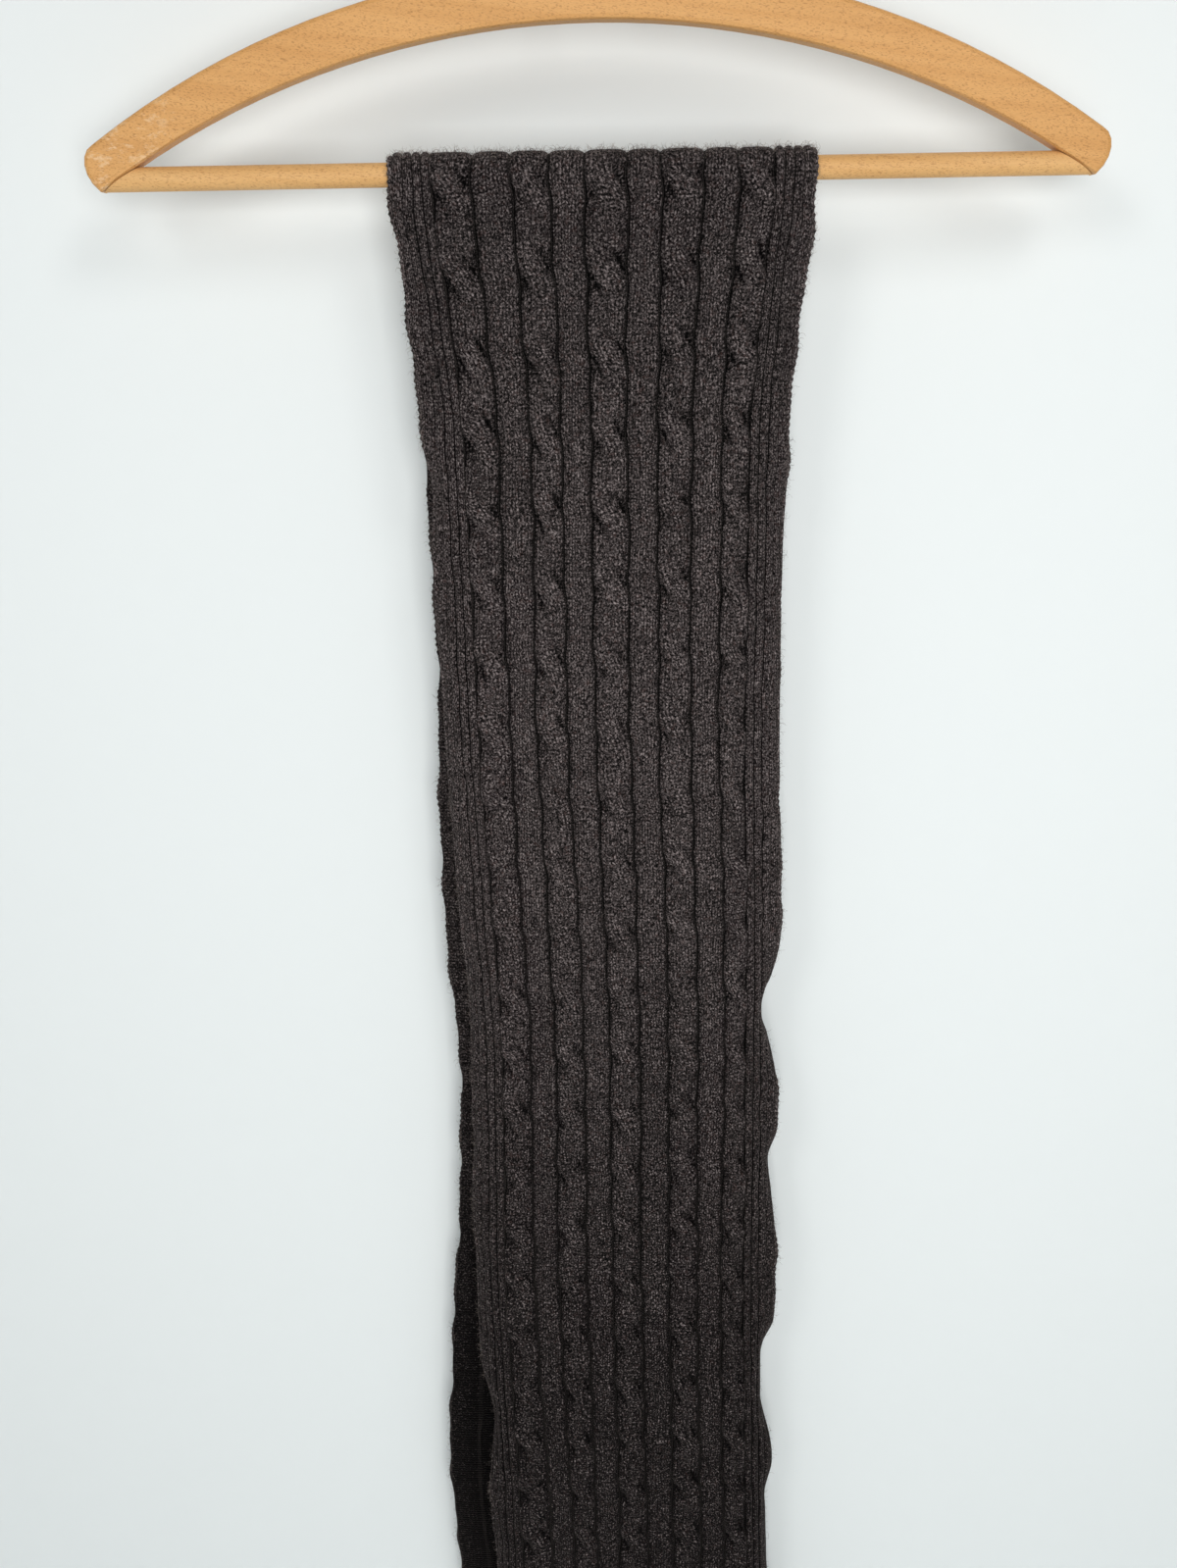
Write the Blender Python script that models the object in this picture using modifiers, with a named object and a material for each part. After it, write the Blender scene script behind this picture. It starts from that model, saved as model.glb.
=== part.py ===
"""Knit scarf folded over the bar of a wooden hanger.

Metres, +Z up. The scarf's right side faces -Y on the front fall and +Y on the back
fall. The origin is the inner crown of the hanger's hook, where it bears on a rail
that runs along Y.
"""

import math
from collections import namedtuple

import bmesh
import bpy
import numpy as np
from mathutils import Matrix, Vector

MM = 0.001
SEAM_GAP = 0.3 * MM  # between pieces that touch on the real object

# Hanger: a crescent board and a round bar between its tips.
BAR_BELOW_CROWN = 155 * MM  # hook's inner crown to the bar's axis
BAR_Z = -BAR_BELOW_CROWN
BAR_RADIUS = 5 * MM
BAR_SIDES = 32
TENON_RADIUS = 3 * MM
TENON_LENGTH = 6 * MM
ARM_THICKNESS = 12 * MM
ARM_EDGE_ROUND = 2 * MM
ARM_TOP_RISE = 78.5 * MM  # crown of the top edge above the bar's axis
ARM_TOP_RADIUS = 386 * MM
ARM_TOP_END_X = 214 * MM  # where the top edge turns into the blunt tip
ARM_UNDERSIDE_RISE = 58 * MM
ARM_UNDERSIDE_RADIUS = 390 * MM
ARM_TIP_X = 220 * MM  # pull of the tip's curve, which itself reaches 218 mm
ARM_TIP_HIGH = 11 * MM
ARM_TIP_LOW = 1 * MM
ARM_EDGE_STEPS = 18
ARM_TIP_STEPS = 6

# Hook: one wire, a straight shank in a blind hole, a neck and a round bill.
WIRE_RADIUS = 1.9 * MM
HOOK_INNER_RADIUS = 17 * MM
HOOK_NECK_RADIUS = 12 * MM
HOOK_TIP_ANGLE = math.radians(205)
SHANK_IN_ARM = 14 * MM
HOOK_STEP = math.radians(9)

# Scarf: three stretches of one knitted strip.
CLOTH = 3 * MM
CLOTH_RADIUS = BAR_RADIUS + SEAM_GAP + CLOTH / 2  # of the fold's middle surface
BORDER = 18 * MM  # ribbed border beside the cabled body, flat
FRONT_FALL = 860 * MM
BACK_FALL = 880 * MM
BORDER_STRIPS = 4
BODY_STRIPS = 5
FALL_STARTS = 0.55 * MM  # below the bar's axis, clear of the fold's slanting end
FRONT_ROWS = 78
BACK_ROWS = 48
FOLD_ROWS = 10
BODY_SWELL = 0.8 * MM
SWELL_LENGTH = 310 * MM
CURL_LIFT = 3 * MM  # how far the body comes forward where the border curls hard
CURL_LIFT_TURN = math.radians(135)
LIFT_STARTS_AT = 0.55  # across the body, from its left root
BACK_STANDS_OFF = 2 * MM  # the back fall swings clear of the curled border
SETTLE = 150 * MM  # drop over which the falls leave the shape of the fold

Root = namedtuple("Root", "drop left right")  # mm: where body meets border
Curl = namedtuple("Curl", "drop turn")  # mm, degrees: a border's backward curl

FRONT_ROOTS = (
    Root(0, -71.5, 75.5),
    Root(60, -66, 70),
    Root(110, -62, 66.5),
    Root(240, -61, 66),
    Root(350, -57.5, 68.5),
    Root(410, -55.5, 69),
    Root(560, -58.5, 70),
    Root(680, -56, 72.5),
    Root(755, -55, 74.5),
    Root(860, -58, 73),
)
FRONT_LEFT_CURLS = (
    Curl(0, 0),
    Curl(110, 5),
    Curl(133, 55),
    Curl(165, 30),
    Curl(240, 45),
    Curl(350, 42),
    Curl(378, 55),
    Curl(457, 38),
    Curl(470, 55),
    Curl(504, 35),
    Curl(555, 52),
    Curl(607, 45),
    Curl(650, 95),
    Curl(710, 35),
    Curl(754, 58),
    Curl(860, 30),
)
FRONT_RIGHT_CURLS = (
    Curl(0, 0),
    Curl(110, 15),
    Curl(165, 45),
    Curl(240, 38),
    Curl(350, 20),
    Curl(380, 80),
    Curl(397, 145),
    Curl(415, 95),
    Curl(460, 15),
    Curl(487, 85),
    Curl(506, 65),
    Curl(557, 5),
    Curl(585, 35),
    Curl(610, 115),
    Curl(637, 118),
    Curl(682, 48),
    Curl(710, 95),
    Curl(754, 90),
    Curl(820, 10),
    Curl(860, 20),
)
BACK_ROOTS = (
    Root(0, -71.5, 75.5),
    Root(106, -65, 65),
    Root(200, -63, 63),
    Root(327, -66, 60),
    Root(440, -61.5, 60),
    Root(524, -66, 61),
    Root(626, -74.5, 55),
    Root(700, -78, 51.5),
    Root(770, -75, 53),
    Root(880, -72, 56),
)
BACK_LEFT_CURLS = (Curl(0, 0), Curl(150, 20), Curl(700, 10), Curl(880, 20))
BACK_RIGHT_CURLS = (
    Curl(0, 0),
    Curl(110, 50),
    Curl(330, 75),
    Curl(390, 110),
    Curl(500, 60),
    Curl(700, 20),
    Curl(880, 15),
)

BEECH = (0.63, 0.36, 0.13, 1.0)
STEEL = (0.6, 0.6, 0.62, 1.0)
WOOL = (0.035, 0.027, 0.026, 1.0)


def clear_scene():
    for obj in list(bpy.data.objects):
        bpy.data.objects.remove(obj, do_unlink=True)


def make_collection(name):
    collection = bpy.data.collections.new(name)
    bpy.context.scene.collection.children.link(collection)
    return collection


def make_material(name, color, roughness, metallic=0.0):
    material = bpy.data.materials.new(name)
    material.use_nodes = True
    shader = material.node_tree.nodes["Principled BSDF"]
    shader.inputs["Base Color"].default_value = color
    shader.inputs["Roughness"].default_value = roughness
    shader.inputs["Metallic"].default_value = metallic
    return material


def add_object(name, data, collection, material=None):
    obj = bpy.data.objects.new(name, data)
    collection.objects.link(obj)
    if material is not None:
        obj.data.materials.append(material)
    return obj


def mesh_of_curve(obj, collection, material):
    """The curve's evaluated mesh as an object with welded caps, in the curve's place."""
    bpy.context.view_layer.update()
    graph = bpy.context.evaluated_depsgraph_get()
    mesh = bpy.data.meshes.new_from_object(obj.evaluated_get(graph))
    name, place = obj.name, obj.matrix_world.copy()
    bpy.data.objects.remove(obj, do_unlink=True)
    shape = bmesh.new()
    shape.from_mesh(mesh)
    bmesh.ops.remove_doubles(shape, verts=shape.verts, dist=0.001 * MM)
    bmesh.ops.recalc_face_normals(shape, faces=shape.faces)
    shape.to_mesh(mesh)
    shape.free()
    mesh.materials.clear()
    made = add_object(name, mesh, collection, material)
    made.matrix_world = place
    return made


def cylinder(name, radius, start, end, sides, collection, material=None):
    """A closed cylinder from start to end."""
    start, end = Vector(start), Vector(end)
    axis = end - start
    shape = bmesh.new()
    bmesh.ops.create_cone(
        shape, cap_ends=True, segments=sides, radius1=radius, radius2=radius, depth=axis.length
    )
    turn = axis.to_track_quat("Z", "Y").to_matrix().to_4x4()
    bmesh.ops.transform(shape, matrix=Matrix.Translation((start + end) / 2) @ turn, verts=shape.verts)
    mesh = bpy.data.meshes.new(name)
    shape.to_mesh(mesh)
    shape.free()
    return add_object(name, mesh, collection, material)


def as_cutter(obj):
    obj.hide_render = True
    obj.display_type = "WIRE"
    return obj


def combine(obj, other, operation):
    modifier = obj.modifiers.new(other.name, "BOOLEAN")
    modifier.operation = operation
    modifier.object = other
    modifier.solver = "EXACT"


def shade_round(obj, angle=math.radians(40)):
    obj.data.shade_smooth()
    obj.data.set_sharp_from_angle(angle=angle)


def arc_height(x, rise, radius):
    """Height above the bar's axis of a crown arc at x."""
    return rise - (radius - math.sqrt(radius**2 - x**2))


def arc_reach(height, rise, radius):
    """The x at which a crown arc has come down to a height."""
    return math.sqrt(radius**2 - (radius - rise + height) ** 2)


def bezier(points, t):
    a, b, c, d = (Vector(point) for point in points)
    return (1 - t) ** 3 * a + 3 * t * (1 - t) ** 2 * b + 3 * t**2 * (1 - t) * c + t**3 * d


def arm_half_outline():
    """The arm's outline from the crown of its top, round its tip, to the crown of its underside."""
    points = []
    for step in range(ARM_EDGE_STEPS):
        x = ARM_TOP_END_X * step / ARM_EDGE_STEPS
        points.append((x, arc_height(x, ARM_TOP_RISE, ARM_TOP_RADIUS)))
    foot_x = arc_reach(-BAR_RADIUS, ARM_UNDERSIDE_RISE, ARM_UNDERSIDE_RADIUS)
    tip = (
        (ARM_TOP_END_X, arc_height(ARM_TOP_END_X, ARM_TOP_RISE, ARM_TOP_RADIUS)),
        (ARM_TIP_X, ARM_TIP_HIGH),
        (ARM_TIP_X, ARM_TIP_LOW),
        (foot_x, -BAR_RADIUS),
    )
    points += [tuple(bezier(tip, step / ARM_TIP_STEPS)) for step in range(ARM_TIP_STEPS)]
    for step in range(ARM_EDGE_STEPS + 1):
        x = foot_x * (1 - step / ARM_EDGE_STEPS)
        points.append((x, arc_height(x, ARM_UNDERSIDE_RISE, ARM_UNDERSIDE_RADIUS)))
    return points


def make_arm(collection, cutters, wood):
    half = arm_half_outline()
    outline = half + [(-x, z) for x, z in reversed(half[1:-1])]
    data = bpy.data.curves.new("hanger_arm", "CURVE")
    data.dimensions = "2D"
    data.fill_mode = "BOTH"
    data.extrude = ARM_THICKNESS / 2 - ARM_EDGE_ROUND
    data.bevel_depth = ARM_EDGE_ROUND
    data.bevel_resolution = 1
    data.offset = -ARM_EDGE_ROUND
    spline = data.splines.new("POLY")
    spline.points.add(len(outline) - 1)
    for point, (x, z) in zip(spline.points, outline):
        point.co = (x, z, 0, 1)
    spline.use_cyclic_u = True
    curve = add_object("hanger_arm", data, collection)
    curve.location = (0, 0, BAR_Z)
    curve.rotation_euler = (math.pi / 2, 0, 0)
    arm = mesh_of_curve(curve, collection, wood)

    top_z = BAR_Z + ARM_TOP_RISE
    hole = cylinder(
        "shank_hole",
        WIRE_RADIUS + SEAM_GAP,
        (0, 0, top_z - SHANK_IN_ARM - SEAM_GAP),
        (0, 0, top_z + ARM_THICKNESS),
        16,
        cutters,
    )
    combine(arm, as_cutter(hole), "DIFFERENCE")
    shoulder_x = arc_reach(0, ARM_UNDERSIDE_RISE, ARM_UNDERSIDE_RADIUS)
    for side, name in ((-1, "tenon_hole_left"), (1, "tenon_hole_right")):
        hole = cylinder(
            name,
            TENON_RADIUS + SEAM_GAP,
            (side * (shoulder_x - 2 * BAR_RADIUS), 0, BAR_Z),
            (side * (shoulder_x + TENON_LENGTH + SEAM_GAP), 0, BAR_Z),
            20,
            cutters,
        )
        combine(arm, as_cutter(hole), "DIFFERENCE")
    shade_round(arm)
    return arm


def make_bar(collection, cutters, wood):
    """A round bar coped to the arm's underside, with a tenon at each end."""
    shoulder_x = arc_reach(0, ARM_UNDERSIDE_RISE, ARM_UNDERSIDE_RADIUS)
    bar = cylinder(
        "hanger_bar",
        BAR_RADIUS,
        (-ARM_TIP_X, 0, BAR_Z),
        (ARM_TIP_X, 0, BAR_Z),
        BAR_SIDES,
        collection,
        wood,
    )
    under_arm = cylinder(
        "space_under_arm",
        ARM_UNDERSIDE_RADIUS - SEAM_GAP,
        (0, -ARM_THICKNESS, BAR_Z + ARM_UNDERSIDE_RISE - ARM_UNDERSIDE_RADIUS),
        (0, ARM_THICKNESS, BAR_Z + ARM_UNDERSIDE_RISE - ARM_UNDERSIDE_RADIUS),
        180,
        cutters,
    )
    combine(bar, as_cutter(under_arm), "INTERSECT")
    tenons = cylinder(
        "tenons",
        TENON_RADIUS,
        (-shoulder_x - TENON_LENGTH, 0, BAR_Z),
        (shoulder_x + TENON_LENGTH, 0, BAR_Z),
        20,
        cutters,
    )
    combine(bar, as_cutter(tenons), "UNION")
    shade_round(bar)
    return bar


def hook_path():
    """The wire's centre line in the XZ plane, from the end in the arm to the free tip."""
    bend = HOOK_INNER_RADIUS + WIRE_RADIUS
    centre_z = -HOOK_INNER_RADIUS
    lean = math.acos(HOOK_NECK_RADIUS / (bend + HOOK_NECK_RADIUS))
    neck_z = centre_z - (bend + HOOK_NECK_RADIUS) * math.sin(lean)
    path = [(0, BAR_Z + ARM_TOP_RISE - SHANK_IN_ARM)]
    steps = math.ceil(lean / HOOK_STEP)
    for step in range(steps):
        angle = lean * step / steps
        path.append(
            (HOOK_NECK_RADIUS * (1 - math.cos(angle)), neck_z + HOOK_NECK_RADIUS * math.sin(angle))
        )
    steps = math.ceil((lean + HOOK_TIP_ANGLE) / HOOK_STEP)
    for step in range(steps + 1):
        angle = -lean + (lean + HOOK_TIP_ANGLE) * step / steps
        path.append((bend * math.cos(angle), centre_z + bend * math.sin(angle)))
    return path


def make_hook(collection, steel):
    data = bpy.data.curves.new("hanger_hook", "CURVE")
    data.dimensions = "3D"
    data.bevel_depth = WIRE_RADIUS
    data.bevel_resolution = 3
    data.use_fill_caps = True
    path = hook_path()
    spline = data.splines.new("POLY")
    spline.points.add(len(path) - 1)
    for point, (x, z) in zip(spline.points, path):
        point.co = (x, 0, z, 1)
    hook = mesh_of_curve(add_object("hanger_hook", data, collection), collection, steel)
    shade_round(hook)
    return hook


def smooth_step(value):
    value = np.clip(value, 0, 1)
    return value * value * (3 - 2 * value)


def along(table, column, drop):
    """One column of a table at a drop in metres, on a smooth curve that never overshoots a row."""
    drops = np.array([row.drop for row in table], float) * MM
    values = np.array([getattr(row, column) for row in table], float)
    slopes = np.diff(values) / np.diff(drops)
    tangents = np.zeros(len(values))
    before, after = slopes[:-1], slopes[1:]
    same_way = before * after > 0
    tangents[1:-1][same_way] = (2 * before * after / (before + after + 1e-12))[same_way]
    row = int(np.clip(np.searchsorted(drops, drop) - 1, 0, len(drops) - 2))
    width = drops[row + 1] - drops[row]
    t = (drop - drops[row]) / width
    return (
        (1 + 2 * t) * (1 - t) ** 2 * values[row]
        + t * (1 - t) ** 2 * width * tangents[row]
        + t * t * (3 - 2 * t) * values[row + 1]
        + t * t * (t - 1) * width * tangents[row + 1]
    )


def curled(reach, turn):
    """(sideways, backward) of a point a distance along a border that turns evenly by turn radians."""
    if turn < 1e-4:
        return reach, 0.0
    radius = BORDER / turn
    angle = reach / radius
    return radius * math.sin(angle), radius * (1 - math.cos(angle))


def strip_places():
    """Places across the scarf: -1 to 0 on the left border, 0 to 1 on the body, 1 to 2 on the right."""
    left = [-1 + i / BORDER_STRIPS for i in range(BORDER_STRIPS)]
    body = [i / BODY_STRIPS for i in range(BODY_STRIPS)]
    right = [1 + i / BORDER_STRIPS for i in range(BORDER_STRIPS + 1)]
    return left + body + right


def fall_point(place, drop, roots, left_curls, right_curls, body_y):
    """A point of a fall's middle surface. body_y gives the body's y from (place, drop, right turn)."""
    left, right = along(roots, "left", drop) * MM, along(roots, "right", drop) * MM
    left_turn = math.radians(along(left_curls, "turn", drop))
    right_turn = math.radians(along(right_curls, "turn", drop))
    inside = min(max(place, 0), 1)
    x = left + (right - left) * inside
    y = body_y(inside, drop, right_turn)
    if place < 0:
        sideways, backward = curled(-place * BORDER, left_turn)
        x, y = x - sideways, y + backward
    elif place > 1:
        sideways, backward = curled((place - 1) * BORDER, right_turn)
        x, y = x + sideways, y + backward
    return Vector((x, y, BAR_Z - drop))


def swell(place, drop):
    return BODY_SWELL * smooth_step(drop / SETTLE) * math.sin(2 * math.pi * drop / SWELL_LENGTH + 3 * place)


def front_y(place, drop, right_turn):
    lift = smooth_step((place - LIFT_STARTS_AT) / (1 - LIFT_STARTS_AT)) * right_turn / CURL_LIFT_TURN
    return -CLOTH_RADIUS - swell(place, drop) - CURL_LIFT * lift


def back_y(place, drop, _right_turn):
    return CLOTH_RADIUS + BACK_STANDS_OFF * smooth_step(drop / SETTLE) + swell(1 - place, drop)


def front_point(place, share):
    drop = FALL_STARTS + (FRONT_FALL - FALL_STARTS) * share
    return fall_point(place, drop, FRONT_ROOTS, FRONT_LEFT_CURLS, FRONT_RIGHT_CURLS, front_y)


def back_point(place, share):
    drop = FALL_STARTS + (BACK_FALL - FALL_STARTS) * share
    return fall_point(place, drop, BACK_ROOTS, BACK_LEFT_CURLS, BACK_RIGHT_CURLS, back_y)


def fold_point(place, share):
    """The stretch over the bar, from the front fall round the top to the back fall."""
    flat = fall_point(place, 0, FRONT_ROOTS, FRONT_LEFT_CURLS, FRONT_RIGHT_CURLS, front_y)
    angle = math.pi * (1 - share)
    return Vector((flat.x, CLOTH_RADIUS * math.cos(angle), BAR_Z + CLOTH_RADIUS * math.sin(angle)))


def make_cloth(name, point_at, rows, collection, wool):
    """A sheet through point_at(place, share), share 0 to 1 along its length, given the cloth's thickness."""
    places = strip_places()
    strips = len(places) - 1
    shape = bmesh.new()
    bmesh.ops.create_grid(shape, x_segments=strips, y_segments=rows, size=0.5)
    for vert in shape.verts:
        strip = round((vert.co.x + 0.5) * strips)
        vert.co = point_at(places[strip], vert.co.y + 0.5)
    bmesh.ops.recalc_face_normals(shape, faces=shape.faces)
    mesh = bpy.data.meshes.new(name)
    shape.to_mesh(mesh)
    shape.free()
    cloth = add_object(name, mesh, collection, wool)
    wall = cloth.modifiers.new("wall", "SOLIDIFY")
    wall.thickness = CLOTH
    wall.offset = 0
    wall.use_even_offset = True
    mesh.shade_smooth()
    return cloth


def main():
    clear_scene()
    collection = make_collection("knit_scarf_on_hanger")
    cutters = make_collection("cutters")
    wood = make_material("beech", BEECH, 0.45)
    make_arm(collection, cutters, wood)
    make_bar(collection, cutters, wood)
    make_hook(collection, make_material("steel", STEEL, 0.25, metallic=1.0))
    wool = make_material("wool_knit", WOOL, 0.95)
    make_cloth("scarf_front", front_point, FRONT_ROWS, collection, wool)
    make_cloth("scarf_over_bar", fold_point, FOLD_ROWS, collection, wool)
    make_cloth("scarf_back", back_point, BACK_ROWS, collection, wool)


main()
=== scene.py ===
"""Knit scarf folded over the bar of a wooden hanger.

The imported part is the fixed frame. The hanger's board, bar and hook keep their solids
and get finishes here. The scarf's three stretches are knitted anew over the same middle
surface, with cables, ribs and stitches. Metres, +Z up. The scarf's right side faces -Y
on the front fall and +Y on the back fall.
"""

import logging
import math
from dataclasses import dataclass, field, fields
from enum import Enum
from types import SimpleNamespace
from typing import Any, Callable, NamedTuple, Optional, Sequence, Union

import bpy
import numpy as np
from mathutils import Matrix, Vector


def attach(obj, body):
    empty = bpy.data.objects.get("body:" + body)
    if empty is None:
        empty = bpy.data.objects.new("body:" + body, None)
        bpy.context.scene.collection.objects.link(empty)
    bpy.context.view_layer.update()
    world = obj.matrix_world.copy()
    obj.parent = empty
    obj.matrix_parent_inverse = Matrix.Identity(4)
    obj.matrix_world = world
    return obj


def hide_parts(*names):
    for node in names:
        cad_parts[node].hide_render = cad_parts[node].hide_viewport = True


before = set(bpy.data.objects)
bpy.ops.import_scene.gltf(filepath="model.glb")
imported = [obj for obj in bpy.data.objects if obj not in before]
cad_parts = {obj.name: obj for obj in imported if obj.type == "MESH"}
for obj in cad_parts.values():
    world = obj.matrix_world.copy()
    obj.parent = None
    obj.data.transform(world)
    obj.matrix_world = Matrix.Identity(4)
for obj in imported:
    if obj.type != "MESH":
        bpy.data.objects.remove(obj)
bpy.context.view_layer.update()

LOG = logging.getLogger("knit_scarf")
MM = 0.001
BORDER_WIDTH = 18.0  # of each ribbed border, in millimetres
BODY_WIDTH = 132.0  # of the cables and ribs between them, in millimetres
Array = np.ndarray
Colour = tuple[float, float, float]
Point = tuple[float, float, float]
Wave = tuple[float, float, float]  # height, length to a radian and turn across


class Slot(Enum):
    """The record's material slots."""

    WOOL = "wool_knit"
    BEECH = "beech"
    STEEL = "steel_wire"


# ---------------------------------------------------------------- node trees


def math_node(operation: str, turned: bool = False) -> Callable[..., "Number"]:
    """A method that adds a Math node for a number and the values given with it.

    Args:
        operation: The node's operation.
        turned: Whether the number comes after the values.

    Returns:
        The method.
    """

    def applied(self: "Number", *others: "Value") -> "Number":
        """The node's result."""
        return self.graph.math(operation, *((*others, self) if turned else (self, *others)))

    return applied


class Number:
    """A number in a node tree, which adds and multiplies as a plain one does."""

    __add__ = __radd__ = math_node("ADD")
    __sub__, __rsub__ = math_node("SUBTRACT"), math_node("SUBTRACT", turned=True)
    __mul__ = __rmul__ = math_node("MULTIPLY")
    __truediv__ = math_node("DIVIDE")
    __gt__, __lt__ = math_node("GREATER_THAN"), math_node("LESS_THAN")
    __abs__ = math_node("ABSOLUTE")
    least, most = math_node("MINIMUM"), math_node("MAXIMUM")
    sine, cosine = math_node("SINE"), math_node("COSINE")
    root, part = math_node("SQRT"), math_node("FRACT")

    def __init__(self, graph: "Graph", socket: bpy.types.NodeSocket) -> None:
        """Keeps the tree's graph and the output socket that holds the number."""
        self.graph = graph
        self.socket = socket

    def __neg__(self) -> "Number":
        """The number with its sign turned."""
        return self * -1.0

    def held(self, low: "Value" = 0.0, high: "Value" = 1.0) -> "Number":
        """The number kept between two limits."""
        return self.most(low).least(high)

    def round_shoulder(self) -> "Number":
        """Rises from 0 at 0 to 1 at 1 along a quarter of a circle."""
        left = 1.0 - self.held()
        return (1.0 - left * left).most(0.0).root()

    def smooth(self, low: "Value", high: "Value") -> "Number":
        """0 below low and 1 above high, with a smooth step between.

        Args:
            low: Where the step starts.
            high: Where it ends.

        Returns:
            The stepped number.
        """
        values = {"Value": self, "From Min": low, "From Max": high}
        made = self.graph.node("ShaderNodeMapRange", values, interpolation_type="SMOOTHSTEP")
        return Number(self.graph, made.outputs["Result"])

    def between(self, low: "Value", high: "Value") -> "Number":
        """Mixes from low, where this is 0, to high, where it is 1."""
        return self * (high - low) + low


Value = Union[Number, float]


class Graph:
    """Builds a node tree a formula at a time, for materials and for Geometry Nodes alike."""

    def __init__(self, tree: bpy.types.NodeTree) -> None:
        """Keeps the tree."""
        self.tree = tree

    def node(self, kind: str, values: Optional[dict[Any, Any]] = None, **settings: Any) -> bpy.types.Node:
        """Adds a node.

        Args:
            kind: Its Blender type.
            values: What its inputs take, by name or index: a number, a socket or a constant.
            settings: Properties to set first.

        Returns:
            The node.
        """
        made = self.tree.nodes.new(kind)
        for name, value in settings.items():
            setattr(made, name, value)
        for key, value in (values or {}).items():
            self.feed(made.inputs[key], value)
        return made

    def feed(self, socket: bpy.types.NodeSocket, value: Any) -> None:
        """Links a value to an input, or sets it there if it is a constant."""
        if isinstance(value, Number):
            self.tree.links.new(value.socket, socket)
        elif isinstance(value, bpy.types.NodeSocket):
            self.tree.links.new(value, socket)
        else:
            socket.default_value = value

    def math(self, operation: str, *values: Value) -> Number:
        """Adds a Math node.

        Args:
            operation: Its operation.
            values: Its inputs, in order.

        Returns:
            Its result.
        """
        made = self.node("ShaderNodeMath", dict(enumerate(values)), operation=operation)
        return Number(self, made.outputs[0])

    def split(self, vector: bpy.types.NodeSocket) -> tuple[Number, Number, Number]:
        """The three numbers of a vector."""
        made = self.node("ShaderNodeSeparateXYZ", {0: vector})
        x, y, z = (Number(self, output) for output in made.outputs)
        return x, y, z

    def vector(self, x: Value, y: Value, z: Value) -> bpy.types.NodeSocket:
        """A vector of three numbers."""
        return self.node("ShaderNodeCombineXYZ", {0: x, 1: y, 2: z}).outputs[0]

    def scaled(self, vector: bpy.types.NodeSocket, by: Value) -> bpy.types.NodeSocket:
        """A vector made longer."""
        made = self.node("ShaderNodeVectorMath", {0: vector, "Scale": by}, operation="SCALE")
        return made.outputs[0]

    def noise(
        self, vector: bpy.types.NodeSocket, scale: Value, detail: float = 2.0, roughness: float = 0.5
    ) -> Number:
        """Smooth noise from 0 to 1.

        Args:
            vector: Where it is read.
            scale: Cells to a metre.
            detail: How many finer layers lie on it.
            roughness: How strong those are.

        Returns:
            The noise.
        """
        values = {"Vector": vector, "Scale": scale, "Detail": detail, "Roughness": roughness}
        made = self.node("ShaderNodeTexNoise", values, noise_dimensions="3D")
        return Number(self, made.outputs[0])


class Material(Graph):
    """A Principled material whose inputs are fed with formulas."""

    def __init__(self, name: str, **constants: Any) -> None:
        """Makes the material.

        Args:
            name: Its name.
            constants: Values set on the shader's own sockets, with _ for a space.
        """
        self.material = bpy.data.materials.new(name)
        self.material.use_nodes = True
        super().__init__(self.material.node_tree)
        self.shader = self.tree.nodes["Principled BSDF"]
        self.dress(**constants)
        self.place = self.node("ShaderNodeTexCoord").outputs["Object"]

    def dress(self, **values: Any) -> None:
        """Feeds the shader's own inputs, named with _ for a space."""
        for key, value in values.items():
            self.feed(self.shader.inputs[key.replace("_", " ")], value)

    def mixed(self, share: Value, low: Any, high: Any) -> bpy.types.NodeSocket:
        """Mixes two colours.

        Args:
            share: 0 gives low and 1 gives high.
            low: A colour or a colour socket.
            high: A colour or a colour socket.

        Returns:
            The mixed colour's socket.
        """
        made = self.node("ShaderNodeMix", {0: share}, data_type="RGBA", clamp_factor=True)
        for socket, value in ((made.inputs[6], low), (made.inputs[7], high)):
            self.feed(socket, (*value, 1.0) if isinstance(value, tuple) else value)
        return made.outputs[2]

    def dimmed(self, colour: bpy.types.NodeSocket, by: Value) -> bpy.types.NodeSocket:
        """A colour made darker."""
        return self.mixed(by, (0.0, 0.0, 0.0), colour)

    def bumped(self, height: Number, distance: float, strength: float = 1.0) -> None:
        """Gives the surface relief.

        Args:
            height: 0 to 1 over the surface.
            distance: What 1 stands for, in metres.
            strength: How much of it shows.
        """
        values = {"Strength": strength, "Distance": distance, "Height": height}
        self.dress(Normal=self.node("ShaderNodeBump", values).outputs[0])


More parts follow.
